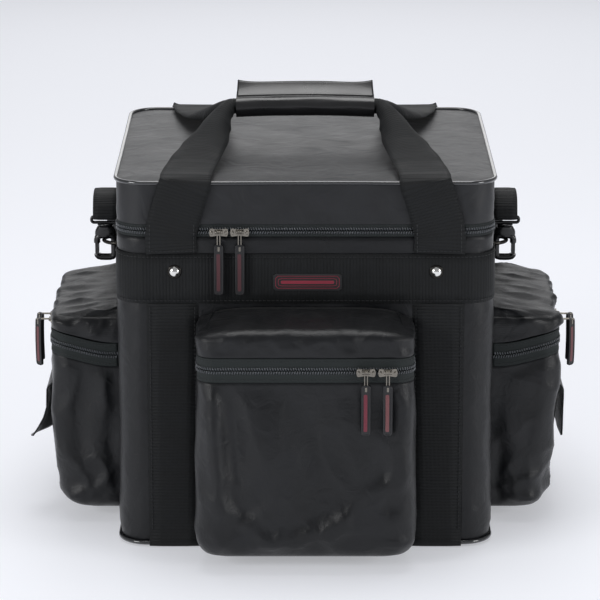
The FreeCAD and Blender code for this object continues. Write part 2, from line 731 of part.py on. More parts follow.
def make_hook(name, side):
    """Snap hook whose eye holds the ring, with a swivel loop for the shoulder strap on top."""
    hook = new_body(f"{name}_body")
    half, eye_half = "hook_width / 2", "(hook_width / 2 - hook_wall)"
    sketch = new_sketch(hook, "XZ_Plane")
    low = f"{EYE_BOTTOM} - hook_wall"
    draw_rounded(sketch, [(f"-{half}", low, "hook_corner"), (half, low, "hook_corner"),
                          (half, HOOK_TOP, "hook_corner"), (f"-{half}", HOOK_TOP, "hook_corner")])
    bend = "hook_corner / 2"
    draw_rounded(sketch, [(f"-{eye_half}", EYE_BOTTOM, bend), (eye_half, EYE_BOTTOM, bend),
                          (eye_half, EYE_TOP, bend), (f"-{eye_half}", EYE_TOP, bend)])
    pad(hook, sketch, "hook_thick", both_ways=True)
    primitive(hook, "SubtractiveBox", at=(f"{eye_half} - hook_wall / 2", "-hook_thick", GATE_LOW),
              Length="2 * hook_wall", Width="2 * hook_thick", Height="gate_length")
    swivel = new_body(f"{name}_swivel")
    loop_low = f"({HOOK_TOP} + swivel_post_height)"
    loop_high = f"({loop_low} + swivel_height)"
    slot = "(sling_width / 2 + fit_gap)"
    frame = new_sketch(swivel, "XZ_Plane")
    wide = f"{slot} + swivel_bar"
    draw_rounded(frame, [(f"-({wide})", loop_low, "swivel_bar"), (wide, loop_low, "swivel_bar"),
                         (wide, loop_high, "swivel_bar"), (f"-({wide})", loop_high, "swivel_bar")])
    slot_low, slot_high = f"{loop_low} + swivel_bar", f"{loop_high} - swivel_bar"
    draw_rounded(frame, [(f"-{slot}", slot_low, "0"), (slot, slot_low, "0"),
                         (slot, slot_high, "0"), (f"-{slot}", slot_high, "0")])
    pad(swivel, frame, "1.5 * swivel_bar", both_ways=True)
    primitive(swivel, "AdditiveCylinder", at=("0", "0", HOOK_TOP), Radius="swivel_post",
              Height="swivel_post_height + swivel_bar / 2")
    turn = 0 if side > 0 else 180
    centre = f"{side} * {HOOK_CENTRE}"
    group(name, [place(piece, centre, "0", RING_HEIGHT, turn=turn) for piece in (hook, swivel)])


def make_gate(name, side):
    """Sprung gate that closes the hook's mouth from its foot."""
    body = new_body(name)
    inner = "(hook_width / 2 - hook_wall + fit_gap)"
    outer = "(hook_width / 2 - fit_gap)"
    foot = f"({GATE_LOW} + fit_gap)"
    head = f"({GATE_LOW} + gate_length - fit_gap)"
    sketch = new_sketch(body, "XZ_Plane")
    draw_rounded(sketch, [(inner, foot, "hook_wall / 3"), (outer, foot, "hook_wall / 3"), (outer, head, "0"),
                          (inner, head, "0")])
    pad(body, sketch, "hook_thick - 2 * fit_gap", both_ways=True)
    keep(place(body, f"{side} * {HOOK_CENTRE}", "0", RING_HEIGHT, turn=0 if side > 0 else 180))


def make_clips():
    """Tabs, rings, hooks and gates on both sides."""
    group("ring_tabs", [make_ring_tab(side) for side in (-1, 1)])
    group("d_rings", [make_ring(side) for side in (-1, 1)])
    for side, name in ((-1, "left"), (1, "right")):
        make_hook(f"{name}_hook", side)
        make_gate(f"{name}_gate", side)


# ---- Webbing that turns in space: carry handles and shoulder strap ------------------------


def ribbon(name, stations):
    """Solid band through stations of (centre, half width, half thickness, width direction or None)."""
    centres = [station[0] for station in stations]
    across = stations[0][3]
    sections = []
    for i, (centre, half_width, half_thick, given) in enumerate(stations):
        along = (centres[min(i + 1, len(centres) - 1)] - centres[max(i - 1, 0)]).normalize()
        wanted = given or along.cross(FreeCAD.Vector(0, 0, 1))
        wanted = (wanted - along * wanted.dot(along)).normalize()
        across = wanted if wanted.dot(across) >= 0 else wanted * -1
        normal = across.cross(along).normalize()
        corners = []
        for wide, thick in ((-1, -1), (1, -1), (1, 1), (-1, 1)):
            corners.append(centre + across * (wide * half_width) + normal * (thick * half_thick))
        sections.append(corners)
    faces = [Part.Face(Part.makePolygon(ends + ends[:1])) for ends in (sections[0], sections[-1])]
    for near, far in zip(sections, sections[1:]):
        for i in range(len(near)):
            sides = [Part.makeLine(corners[i - 1], corners[i]) for corners in (near, far)]
            faces.append(Part.makeRuledSurface(*sides))
    shell = Part.makeShell(faces)
    shell.sewShape()
    solid = Part.makeSolid(shell)
    if solid.Volume < 0:
        solid.reverse()
    feature = doc.addObject("Part::Feature", name)
    feature.Label = name
    feature.Shape = solid
    feature.Placement = FreeCAD.Placement()
    return keep(feature)


# A leg from the lid's edge to the grip: share of the way back, share of the way in,
# share of the rise, and share of the change from flat webbing to rolled grip.
LEG_ROUTE = (
    (0.05, 0.00, 0.03, 0.0),
    (0.16, 0.04, 0.06, 0.0),
    (0.36, 0.16, 0.18, 0.06),
    (0.60, 0.34, 0.42, 0.22),
    (0.82, 0.56, 0.74, 0.52),
    (0.94, 0.76, 0.92, 0.82),
    (0.99, 0.90, 0.99, 0.97),
    (1.00, 1.00, 1.00, 1.0),
)


def leg_stations(face, side, grip_y, grip_rise):
    """Stations of one handle leg from the waist band up, over the lid's edge and in to the grip."""
    web = number("handle_web / 2")
    wide, core = number("strap_width / 2"), number("grip_core / 2")
    x_leg, x_grip = number(STRAP_CENTRE), number("wrap_half + grip_core / 6")
    wall = number(HALF_DEPTH)
    off_teeth = wall + number("coil_proud + fit_gap + handle_web / 2")
    off_welt = wall + number("piping_proud + 2 * fit_gap + handle_web / 2")
    top = number(LID_TOP) + number("handle_web / 2 + fit_gap")
    upright = [
        (off_teeth, number(f"{BAND_TOP} + fit_gap")),
        (off_teeth, number(SPLIT)),
        (off_welt, number(f"{LID_TOP} - 2 * piping_width")),
        (off_welt, top),
    ]
    along_x = FreeCAD.Vector(1, 0, 0)
    stations = [(FreeCAD.Vector(side * x_leg, face * y, z), wide, web, along_x) for y, z in upright]
    for back, inward, rise, rolled in LEG_ROUTE:
        y = face * wall + back * (grip_y - face * wall)
        x = side * (x_leg + inward * (x_grip - x_leg))
        z = top + web + rise * (grip_rise - web)
        half_wide, half_thick = wide + rolled * (core - wide), web + rolled * (core - web)
        stations.append((FreeCAD.Vector(x, y, z), half_wide, half_thick, None))
    return stations


def make_handle(name, face, grip_y, grip_rise):
    """Carry handle in one piece: left leg, rolled grip, right leg."""
    left = leg_stations(face, -1, number(grip_y), number(grip_rise))
    right = leg_stations(face, 1, number(grip_y), number(grip_rise))
    return ribbon(name, left + right[::-1])


GRIP_HEIGHT = f"({LID_TOP} + front_grip_rise + handle_web / 2 + fit_gap)"
# The flap leaves the sleeve 60 degrees round from the back and leans back as it rises.
FLAP_FOOT_COS, FLAP_FOOT_SIN = 0.5, 0.866
FLAP_LEAN = (0.8, 0.6)


def make_grip():
    """Leatherette sleeve round the front grip, and its loose flap standing behind it."""
    wrap = new_body("grip_wrap")
    primitive(wrap, "AdditiveCylinder", "YZ_Plane", ("0", "0", "-wrap_half"), Radius="wrap_radius",
              Height="2 * wrap_half")
    primitive(wrap, "SubtractiveCylinder", "YZ_Plane", ("0", "0", "-wrap_half - 1"),
              Radius="wrap_radius - wrap_cloth", Height="2 * wrap_half + 2")
    keep(place(wrap, "0", "front_grip_offset", GRIP_HEIGHT))
    flap = new_body("grip_flap")
    half = "grip_flap_thick / 2"
    root = f"(wrap_radius + fit_gap + {half})"
    foot_y, foot_z = f"{FLAP_FOOT_COS} * {root}", f"{FLAP_FOOT_SIN} * {root}"
    along_y, along_z = FLAP_LEAN
    outline = []
    for length, side in (("0", 1), ("grip_flap_length", 1), ("grip_flap_length", -1), ("0", -1)):
        outline.append((f"{foot_y} + {along_y} * {length} + {side * along_z} * {half}",
                        f"{foot_z} + {along_z} * {length} - {side * along_y} * {half}"))
    pad(flap, draw_polygon(new_sketch(flap, "YZ_Plane"), outline), "2 * wrap_half", both_ways=True)
    keep(place(flap, "0", "front_grip_offset", GRIP_HEIGHT))


# Right half of the shoulder strap, from the swivel loop to the pad behind the box:
# distance out from the side of the box, distance back, height, and the webbing's width direction.
SLING_ROUTE = (
    ((20.7, 0, 0), (1, 0, 0)),
    ((20.7, 0, 5), (1, 0, 0)),
    ((20.8, 3, 11), (1, 0, 0)),
    ((21, 11, 16.5), (1, 0, 0)),
    ((21.3, 24, 18.5), (1, 0, 0)),
    ((22, 48, 16), (1, 0, 0)),
    ((22.5, 82, 9), (1, 0, 0)),
    ((22.6, 118, -3), (1, 0, 0)),
    ((22.4, 155, -20), (1, 0, 0)),
    ((21, 188, -43), (0.97, 0.1, 0)),
    ((16, 214, -73), (0.8, 0.5, 0)),
    ((5, 228, -107), (0.45, 0.85, 0)),
    ((-14, 234, -140), (0.15, 1, 0)),
    ((-37, 236, -169), (0, 1, 0)),
    ((-65, 236, -191), (0, 1, 0)),
    ((-94, 236, -205), (0, 1, 0)),
)


def make_sling():
    """Shoulder strap from hook to hook, hanging behind the box, with a pad round its middle."""
    top = number(f"{RING_HEIGHT} + {HOOK_TOP} + swivel_post_height + swivel_height")
    side, half, thick = number(HALF_WIDTH), number("sling_width / 2"), number("sling_thick / 2")
    right = []
    for (out, back, rise), (across_x, across_y, across_z) in SLING_ROUTE:
        centre = FreeCAD.Vector(side + out, back, top + rise)
        right.append((centre, half, thick, FreeCAD.Vector(across_x, across_y, across_z)))
    left = [(FreeCAD.Vector(-centre.x, centre.y, centre.z), half, thick,
             FreeCAD.Vector(-across.x, across.y, across.z)) for centre, half, thick, across in right]
    ribbon("shoulder_strap", left + right[::-1])
    length = sum((b[0] - a[0]).Length for a, b in zip(right, right[1:]))
    middle = (right[-1][0] - left[-1][0]).Length
    print(f"shoulder strap {2 * length + middle:.0f} mm from hook to hook")
    pad_body = new_body("shoulder_pad")
    lift = f"{right[-1][0].z:.3f}"
    pad_corner = ("-pad_length / 2", "-pad_width / 2", "-(sling_thick / 2 + pad_thick)")
    primitive(pad_body, "AdditiveBox", at=pad_corner,
              Length="pad_length", Width="pad_width", Height="pad_thick")
    keep(place(pad_body, "0", f"{right[-1][0].y:.3f}", lift))


def check_and_write():
    """Stop on any failed object, then write one file for each sub-part."""
    doc.recompute()
    for item in doc.Objects:
        if {"Invalid", "Error"} & set(item.State):
            raise RuntimeError(f"{item.Label} failed: {item.State}")
    for piece in nodes:
        if piece.Shape.isNull() or not piece.Shape.isValid():
            raise RuntimeError(f"{piece.Label} has no valid shape")
    os.makedirs("parts", exist_ok=True)
    for piece in nodes:
        piece.Shape.exportStep(f"parts/{piece.Label}.step")
    print(f"{len(nodes)} sub-parts, {sum(len(piece.Shape.Solids) for piece in nodes)} solids")


fill_sheet()
make_walls()
make_piping("base_piping", FLOOR_TOP)
make_band()
make_main_zip()
make_lid()
make_pockets()
make_fasteners()
make_clips()
make_handle("front_handle", -1, "front_grip_offset", "front_grip_rise")
make_handle("back_handle", 1, "back_grip_offset", "back_grip_rise")
make_grip()
make_sling()
check_and_write()
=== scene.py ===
"""Dresses a soft record bag: cloth, webbing, zips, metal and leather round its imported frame.

Lengths are metres in the frame's own axes: +X to the right of the front, +Y back, +Z up.
"""

import logging
import math
from dataclasses import dataclass, field
from enum import Enum
from typing import Callable, Iterable, Sequence

import bmesh
import bpy
from mathutils import Matrix, Vector, noise


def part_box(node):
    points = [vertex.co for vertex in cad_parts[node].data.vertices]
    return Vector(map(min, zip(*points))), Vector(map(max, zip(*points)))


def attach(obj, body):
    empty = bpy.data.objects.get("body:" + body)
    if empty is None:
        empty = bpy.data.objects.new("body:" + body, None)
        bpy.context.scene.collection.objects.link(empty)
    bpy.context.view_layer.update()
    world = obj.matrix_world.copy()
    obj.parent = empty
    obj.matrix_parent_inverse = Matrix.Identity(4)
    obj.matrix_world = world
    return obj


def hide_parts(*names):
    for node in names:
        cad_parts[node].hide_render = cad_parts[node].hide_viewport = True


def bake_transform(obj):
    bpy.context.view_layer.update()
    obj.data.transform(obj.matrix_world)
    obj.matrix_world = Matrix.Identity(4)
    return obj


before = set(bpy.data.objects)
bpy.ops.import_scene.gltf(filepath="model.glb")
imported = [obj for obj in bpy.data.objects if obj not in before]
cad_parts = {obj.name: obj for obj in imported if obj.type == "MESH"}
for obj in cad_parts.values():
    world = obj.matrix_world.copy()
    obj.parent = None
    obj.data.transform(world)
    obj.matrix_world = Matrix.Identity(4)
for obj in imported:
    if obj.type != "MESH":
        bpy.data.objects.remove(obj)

MM = 0.001
UP = Vector((0, 0, 1))
BACK = Vector((0, 1, 0))
log = logging.getLogger("record_bag")


class Where(Enum):
    """The three walls that carry a bellows pocket, with each one's turn about the upright axis."""

    FRONT = 0
    LEFT = -90
    RIGHT = 90

    @property
    def word(self) -> str:
        """The wall's name as the frame's nodes spell it."""
        return self.name.lower()


class Fall(Enum):
    """How a zip pull hangs from its slider."""

    STRAIGHT = "straight"
    OUTWARD = "outward"


def low_of(node: str) -> float:
    """Lowest height of a node of the frame."""
    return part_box(node)[0].z


def high_of(node: str) -> float:
    """Greatest height of a node of the frame."""
    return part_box(node)[1].z


# heights that several sub-assemblies share
MAIN_SPLIT = high_of("main_zip_lower")
LID_TOP = high_of("lid_shell")
BAND_TOP = high_of("waist_band")
FRONT_SPLIT = 206 * MM
SIDE_SPLIT = 190 * MM
# half sizes of the box, its corner, and the middles of the straps and handle legs
HALF_X = 185 * MM
HALF_Y = 175 * MM
CORNER = 28 * MM
LEG_X = 130.5 * MM
# how far the zips of the pockets stand from the bag's middle
FRONT_FACE = 255 * MM
SIDE_FACE = 257 * MM


# ---- Colour and nodes ----


def linear(hex_colour: str) -> tuple[float, float, float, float]:
    """Turn an sRGB hex colour into a linear one.

    Args:
        hex_colour: Six hex digits after a hash.

    Returns:
        Linear red, green, blue and an alpha of one.
    """
    shares = [int(hex_colour[i:i + 2], 16) / 255 for i in (1, 3, 5)]
    red, green, blue = [c / 12.92 if c <= 0.04045 else ((c + 0.055) / 1.055) ** 2.4 for c in shares]
    return (red, green, blue, 1.0)


def add_node(tree: bpy.types.NodeTree, kind: str, inputs: dict | None = None, **settings) -> bpy.types.Node:
    """Add one node with its settings, values and links.

    Args:
        tree: The node tree that gets the node.
        kind: The node's type name.
        inputs: Values or output sockets by input name or number.
        settings: The node's own properties.

    Returns:
        The new node.
    """
    node = tree.nodes.new(kind)
    for name, value in settings.items():
        setattr(node, name, value)
    for name, value in (inputs or {}).items():
        if isinstance(value, bpy.types.NodeSocket):
            tree.links.new(value, node.inputs[name])
        else:
            node.inputs[name].default_value = value
    return node


@dataclass(frozen=True)
class Finish:
    """What every finish shares: its slot in the record, its colours and its gloss."""

    name: str
    slot: str
    colour: str
    pale: str
    roughness: float
    grain_mm: float
    relief: float = 0.3
    metallic: float = 0.0
    sheen: float = 0.0
    coat: float = 0.0
    blotch_mm: float = 30.0
    crinkle_mm: float = 0.0
    shine: float = 0.5

    def material(self) -> bpy.types.Material:
        """The finish's material, made once."""
        made = bpy.data.materials.get(self.name)
        if made is None:
            made = bpy.data.materials.new(self.name)
            made.use_nodes = True
            made.diffuse_color = linear(self.colour)
            self.dress(made.node_tree)
        return made

    def dress(self, tree: bpy.types.NodeTree) -> None:
        """Fill the node tree: shader, pattern, colour and relief."""
        tree.nodes.clear()
        pattern = self.pattern(tree)
        place = add_node(tree, "ShaderNodeTexCoord").outputs["Object"]
        cloud = add_node(tree, "ShaderNodeTexNoise", {
            "Vector": place, "Scale": 1 / (self.blotch_mm * MM), "Detail": 3.0}).outputs["Fac"]
        tone = add_node(tree, "ShaderNodeMapRange", {
            "Value": cloud, "From Min": 0.3, "From Max": 0.75, "To Min": 0.0, "To Max": 0.45})
        # the grain's height also pales the colour: on the woven and ribbed finishes this paints a highlight
        # on the proud threads and ribs, on the plain grains it is a tone that differs at random
        mixed = add_node(tree, "ShaderNodeMath", {0: pattern, 1: 0.55}, operation="MULTIPLY")
        share = add_node(tree, "ShaderNodeMath", {0: mixed.outputs[0], 1: tone.outputs["Result"]},
                         operation="ADD", use_clamp=True)
        colour = add_node(tree, "ShaderNodeMix", {
            "Factor": share.outputs[0], "A": linear(self.colour), "B": linear(self.pale)}, data_type="RGBA")
        gloss = add_node(tree, "ShaderNodeMapRange", {
            "Value": cloud, "From Min": 0.2, "From Max": 0.8,
            "To Min": max(self.roughness - 0.06, 0.02), "To Max": self.roughness + 0.06})
        relief = {"Height": pattern, "Strength": self.relief, "Distance": 0.35 * self.grain_mm * MM}
        if self.crinkle_mm:
            relief["Normal"] = self.crinkles(tree, place)
        bump = add_node(tree, "ShaderNodeBump", relief)
        shader = add_node(tree, "ShaderNodeBsdfPrincipled", {
            "Base Color": colour.outputs["Result"], "Roughness": gloss.outputs["Result"],
            "Normal": bump.outputs["Normal"], "Metallic": self.metallic, "Sheen Weight": self.sheen,
            "Sheen Roughness": 0.45, "Specular IOR Level": self.shine, "Coat Weight": self.coat,
            "Coat Roughness": 0.12})
        add_node(tree, "ShaderNodeOutputMaterial", {"Surface": shader.outputs["BSDF"]})

    def crinkles(self, tree: bpy.types.NodeTree, place: bpy.types.NodeSocket) -> bpy.types.NodeSocket:
        """Normal of small crinkles, far wider than a thread and too shallow for the mesh."""
        wide = add_node(tree, "ShaderNodeTexNoise", {
            "Vector": place, "Scale": 1 / (self.crinkle_mm * MM), "Detail": 3.0, "Roughness": 0.45,
            "Distortion": 1.2}).outputs["Fac"]
        return add_node(tree, "ShaderNodeBump", {
            "Height": wide, "Strength": 0.52, "Distance": 0.1 * self.crinkle_mm * MM}).outputs["Normal"]

    def pattern(self, tree: bpy.types.NodeTree) -> bpy.types.NodeSocket:
        """Height of the surface's grain from 0 to 1: fine grains of the finish's size."""
        place = add_node(tree, "ShaderNodeTexCoord").outputs["Object"]
        grains = add_node(tree, "ShaderNodeTexNoise", {
            "Vector": place, "Scale": 1 / (self.grain_mm * MM), "Detail": 4.0, "Roughness": 0.6})
        return grains.outputs["Fac"]

    def threads(self, tree: bpy.types.NodeTree, axis: str, pitch_mm: float,
                shift: float = 0.0) -> bpy.types.NodeSocket:
        """Rows of threads across one weave direction.

        Args:
            tree: The node tree.
            axis: X for rows that follow each other along the cloth, Y for across it.
            pitch_mm: Spacing of the rows.
            shift: Noise that makes the rows uneven.

        Returns:
            Height from 0 to 1.
        """
        weave = add_node(tree, "ShaderNodeUVMap", uv_map="weave").outputs["UV"]
        return add_node(tree, "ShaderNodeTexWave", {
            "Vector": weave, "Scale": math.pi / (10 * pitch_mm * MM), "Distortion": shift, "Detail": 1.0,
            "Detail Scale": 1.5}, bands_direction=axis).outputs["Fac"]


@dataclass(frozen=True)
class WovenNylon(Finish):
    """Plain-weave nylon: threads both ways, too fine to see singly, so drawn at twice their spacing."""

    def pattern(self, tree: bpy.types.NodeTree) -> bpy.types.NodeSocket:
        """Warp and weft, each proud in turn."""
        warp = self.threads(tree, "X", self.grain_mm, 0.6)
        weft = self.threads(tree, "Y", self.grain_mm, 0.6)
        return add_node(tree, "ShaderNodeMath", {0: warp, 1: weft}, operation="MULTIPLY").outputs[0]


@dataclass(frozen=True)
class RibbedWebbing(Finish):
    """Polypropylene webbing: ribs across the strap, each crossed by lengthwise threads."""

    thread_mm: float = 1.3

    def pattern(self, tree: bpy.types.NodeTree) -> bpy.types.NodeSocket:
        """Ribs along the strap with the finer threads laid over them."""
        ribs = self.threads(tree, "X", self.grain_mm)
        threads = self.threads(tree, "Y", self.thread_mm, 0.4)
        faint = add_node(tree, "ShaderNodeMath", {0: threads, 1: 0.45}, operation="MULTIPLY").outputs[0]
        both = add_node(tree, "ShaderNodeMath", {0: ribs, 1: faint}, operation="ADD", use_clamp=True)
        return both.outputs[0]


# Real material, and what that gives the eye:
# calendered nylon: almost black, faintly blue, with a satin shine on every fold
NYLON = WovenNylon("calendered_nylon", "nylon", "#07080a", "#131519", 0.33, 1.0, 0.3, sheen=0.03,
                   crinkle_mm=16.0, shine=0.36)
# the lid's cover, its top stretched over foam: the same cloth painted paler on skirt and top alike, a painted
# sheen of the overhead light
SHEENED_LID_NYLON = WovenNylon("lid_nylon_painted_sheen", "nylon", "#0e0f12", "#1c1e22", 0.42, 1.0, 0.3, sheen=0.06,
                       crinkle_mm=30.0, shine=0.42)
# brushed polyester lining: soft and dull
LINING = WovenNylon("brushed_lining_cloth", "lining_cloth", "#151619", "#232428", 0.7, 1.2, 0.4, sheen=0.2)
# polypropylene webbing: dull black with ribs that catch the light singly
WEBBING = RibbedWebbing("ribbed_webbing", "webbing", "#060707", "#17191b", 0.62, 3.2, 0.5, sheen=0.03,
                        shine=0.25)
# zip tape: fine herringbone, almost matte
TAPE = RibbedWebbing("zip_tape", "zip_tape", "#070808", "#131415", 0.72, 1.4, 0.4, shine=0.2, thread_mm=1.0)
# nylon coil of a zip: drawn black filament painted grey, a painted highlight, and a small hard shine on each
# turn
COIL = Finish("nylon_coil", "zip_tape", "#2b2d31", "#4c5055", 0.24, 0.8, 0.1, coat=0.5)
# vinyl piping: smooth skin over a cord, with one bright line of light
PIPING = Finish("vinyl_piping", "piping", "#141517", "#26282b", 0.16, 1.0, 0.06, coat=1.0)
# zinc sliders with a dark nickel plate, tumbled before plating
GUNMETAL = Finish("dark_nickel_zinc", "slider_metal", "#6b6760", "#98938a", 0.22, 0.6, 0.12, metallic=1.0)
# moulded PVC tabs: soft satin black
TAB_RUBBER = Finish("moulded_pvc", "pull_rubber", "#0f0f11", "#1e1e21", 0.42, 0.9, 0.15)
# the stripe moulded into the tabs, dulled by handling
STRIPE = Finish("red_pvc_inlay", "pull_rubber", "#5c1626", "#702434", 0.42, 0.9, 0.15)
# the same stripe painted darker, a painted shade, for the main zip's pulls
SHADED_STRIPE = Finish("shaded_red_pvc_inlay", "pull_rubber", "#3f1a20", "#522a2f", 0.5, 0.9, 0.2)
# the stripe on pulls that hang free, painted paler and browner: a painted sheen
SHEENED_STRIPE = Finish("sheened_red_pvc_inlay", "pull_rubber", "#5e3032", "#74474a", 0.5, 0.9, 0.2)
# chromed steel: mirror bright
CHROME = Finish("chromed_steel", "chrome", "#d9d8d4", "#eeeeec", 0.08, 0.5, 0.03, metallic=1.0)
# blackened steel: the rings and the washer under each rivet
BLACK_STEEL = Finish("blackened_steel", "chrome", "#2c2b29", "#3f3d3a", 0.26, 0.5, 0.08, metallic=1.0)
# leatherette: vinyl skin with a fine pebble, satin
LEATHERETTE = Finish("pebbled_leatherette", "leatherette", "#0b0b0c", "#1a1a1c", 0.3, 1.3, 0.2, coat=0.2)
# acetal hooks: hard moulded black with a slight orange-peel
ACETAL = Finish("moulded_acetal", "hook_plastic", "#0a0b0c", "#17181a", 0.24, 1.5, 0.06)
# rubber patch: matte moulding
PATCH = Finish("rubber_patch", "patch_rubber", "#0f0f11", "#1d1d1f", 0.5, 0.7, 0.25)
# red PVC raised on the patch
PATCH_RED = Finish("raised_red_pvc", "patch_rubber", "#761428", "#8c2438", 0.4, 0.7, 0.12)
# bonded polyester thread
THREAD = Finish("bonded_thread", "webbing", "#141517", "#26282b", 0.45, 0.4, 0.2)
# polyethylene foam: pale pores in dark grey
FOAM = Finish("closed_cell_foam", "foam", "#2d2d2f", "#424245", 0.9, 1.2, 0.5)
# pressed board: matte with fibres
BOARD = Finish("pressed_board", "board", "#252422", "#35332f", 0.85, 2.0, 0.3)


# ---- Meshes ----


class Draft:
    """Points, faces and weave coordinates of a piece on its way to a mesh."""

    def __init__(self) -> None:
        """Start empty."""
        self.points: list[Vector] = []
        self.faces: list[tuple[int, ...]] = []
        self.weave: list[tuple[float, float]] = []

    def grid(self, rows: Sequence[Sequence[Vector]], closed: bool = False,
             flip: bool = False) -> list[list[int]]:
        """Add quads through rows of points; the weave follows real lengths along and across the rows.

        Args:
            rows: Rows of as many points each.
            closed: Whether each row's end joins its start.
            flip: Whether the faces turn the other way.

        Returns:
            The points' numbers, row by row.
        """
        base = len(self.points)
        count = len(rows[0])
        numbers = [[base + i * count + j for j in range(count)] for i in range(len(rows))]
        for row in rows:
            self.points.extend(Vector(p) for p in row)
        along = [0.0]
        middle = rows[len(rows) // 2]
        for j in range(count):
            along.append(along[-1] + (Vector(middle[(j + 1) % count]) - Vector(middle[j])).length)
        across = [0.0]
        for near, far in zip(rows, rows[1:]):
            across.append(across[-1] + (Vector(far[count // 3]) - Vector(near[count // 3])).length)
        for i in range(len(rows) - 1):
            for j in range(count if closed else count - 1):
                k = (j + 1) % count
                corners = [(numbers[i][j], j, i), (numbers[i][k], j + 1, i),
                           (numbers[i + 1][k], j + 1, i + 1), (numbers[i + 1][j], j, i + 1)]
                if flip:
                    corners.reverse()
                self.faces.append(tuple(c[0] for c in corners))
                self.weave.extend((along[c[1]], across[c[2]]) for c in corners)
        return numbers

    def polygon(self, numbers: Sequence[int]) -> None:
        """Close a ring of numbered points with one face, its weave laid flat."""
        self.faces.append(tuple(numbers))
        self.weave.extend((self.points[n].x, self.points[n].y + self.points[n].z) for n in numbers)

    def tube(self, rings: Sequence[Sequence[Vector]], closed: bool = False) -> None:
        """Add a tube through rings of points, with both ends capped unless it closes on itself."""
        rows = [list(ring) for ring in rings]
        if closed:
            rows.append(rows[0])
        numbers = self.grid(rows, closed=True)
        if not closed:
            self.polygon(numbers[0][::-1])
            self.polygon(numbers[-1])

    def build(self, name: str, finish: Finish, body: str, nodes: Sequence[str] = (), sharp: float = 50.0,
              seat: Matrix | None = None) -> bpy.types.Object:
        """Turn the draft into a piece that rides on a body.

        Args:
            name: The piece's name.
            finish: Its finish.
            body: The body that it moves with, or nothing for a piece that rides on no body.
            nodes: The frame's nodes that it stands for.
            sharp: Edges bent by more than this many degrees stay sharp.
            seat: Where the draft's own axes stand.

        Returns:
            The new object.
        """
        mesh = bpy.data.meshes.new(name)
        mesh.from_pydata(self.points, [], self.faces)
        layer = mesh.uv_layers.new(name="weave")
        layer.data.foreach_set("uv", [c for pair in self.weave for c in pair])
        work = bmesh.new()
        work.from_mesh(mesh)
        bmesh.ops.remove_doubles(work, verts=work.verts, dist=0.01 * MM)
        bmesh.ops.recalc_face_normals(work, faces=work.faces)
        work.to_mesh(mesh)
        work.free()
        if seat is not None:
            mesh.transform(seat)
        mesh.polygons.foreach_set("use_smooth", [True] * len(mesh.polygons))
        mesh.set_sharp_from_angle(angle=math.radians(sharp))
        mesh.materials.append(finish.material())
        piece = bpy.data.objects.new(name, mesh)
        bpy.context.scene.collection.objects.link(piece)
        if body:
            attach(piece, body)
        if nodes:
            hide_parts(*nodes)
        log.info("%s: %d faces on %s", name, len(mesh.polygons), body or "a joint")
        return piece


def thicken(piece: bpy.types.Object, thick: float) -> bpy.types.Object:
    """Give a cloth surface its thickness, inwards."""
    layer = piece.modifiers.new("thickness", "SOLIDIFY")
    layer.thickness = thick
    layer.offset = -1.0
    return piece


def cloth(name: str, rows: Sequence[Sequence[Vector]], thick: float, finish: Finish, body: str,
          nodes: Sequence[str], sharp: float = 180.0, seat: Matrix | None = None) -> bpy.types.Object:
    """Build one sheet of cloth through rows of points.

    Args:
        name: The piece's name.
        rows: Rows of as many points each.
        thick: The cloth's thickness.
        finish: Its finish.
        body: The body that it moves with, or nothing for a piece that rides on no body.
        nodes: The frame's nodes that it stands for.
        sharp: Edges bent by more than this many degrees stay sharp.
        seat: Where the rows' own axes stand.

    Returns:
        The new object.
    """
    draft = Draft()
    draft.grid(rows)
    return thicken(draft.build(name, finish, body, nodes, sharp, seat), thick)


def soften(piece: bpy.types.Object, width: float) -> bpy.types.Object:
    """Round a hard piece's edges as its mould or plating does."""
    edge = piece.modifiers.new("edge", "BEVEL")
    edge.width = width
    edge.segments = 2
    edge.limit_method = "ANGLE"
    return piece


def capsule(draft: Draft, start: Vector, end: Vector, radius: float, sides: int = 6) -> None:
    """Add a short rod with domed ends, as a stitch, tooth or pin."""
    along = (end - start).normalized()
    first = along.orthogonal().normalized()
    second = along.cross(first)
    turns = [2 * math.pi * k / sides for k in range(sides)]
    dome = along * radius * 0.5
    rings = []
    for spot, share in ((start, 0.45), (start + dome, 1.0), (end - dome, 1.0), (end, 0.45)):
        rings.append([spot + (first * math.cos(a) + second * math.sin(a)) * radius * share for a in turns])
    draft.tube(rings)


def heading(route: Sequence[Vector], i: int, closed: bool = False) -> Vector:
    """Direction of a route at one of its points."""
    if closed:
        return (route[(i + 1) % len(route)] - route[i - 1]).normalized()
    return (route[min(i + 1, len(route) - 1)] - route[max(i - 1, 0)]).normalized()


def loft(draft: Draft, route: Sequence[Vector], radii: Sequence[tuple[float, float]], across: Vector,
         sides: int = 14, closed: bool = False, squareness: float = 2.0) -> None:
    """Sweep a rounded section along a route.

    Args:
        draft: What receives the tube.
        route: Its centre line.
        radii: Half sizes along `across` and square to it, one pair for each point.
        across: The section's first direction.
        sides: Points round the section.
        closed: Whether the route ends where it starts.
        squareness: 2 for an ellipse, more for a squarer section.
    """
    rings = []
    for i, (spot, (wide, deep)) in enumerate(zip(route, radii)):
        along = heading(route, i, closed)
        first = (across - along * across.dot(along)).normalized()
        second = along.cross(first)
        ring = []
        for k in range(sides):
            turn = 2 * math.pi * k / sides
            c, s = math.cos(turn), math.sin(turn)
            x = math.copysign(abs(c) ** (2 / squareness), c)
            y = math.copysign(abs(s) ** (2 / squareness), s)
            ring.append(spot + first * x * wide + second * y * deep)
        rings.append(ring)
    draft.tube(rings, closed=closed)


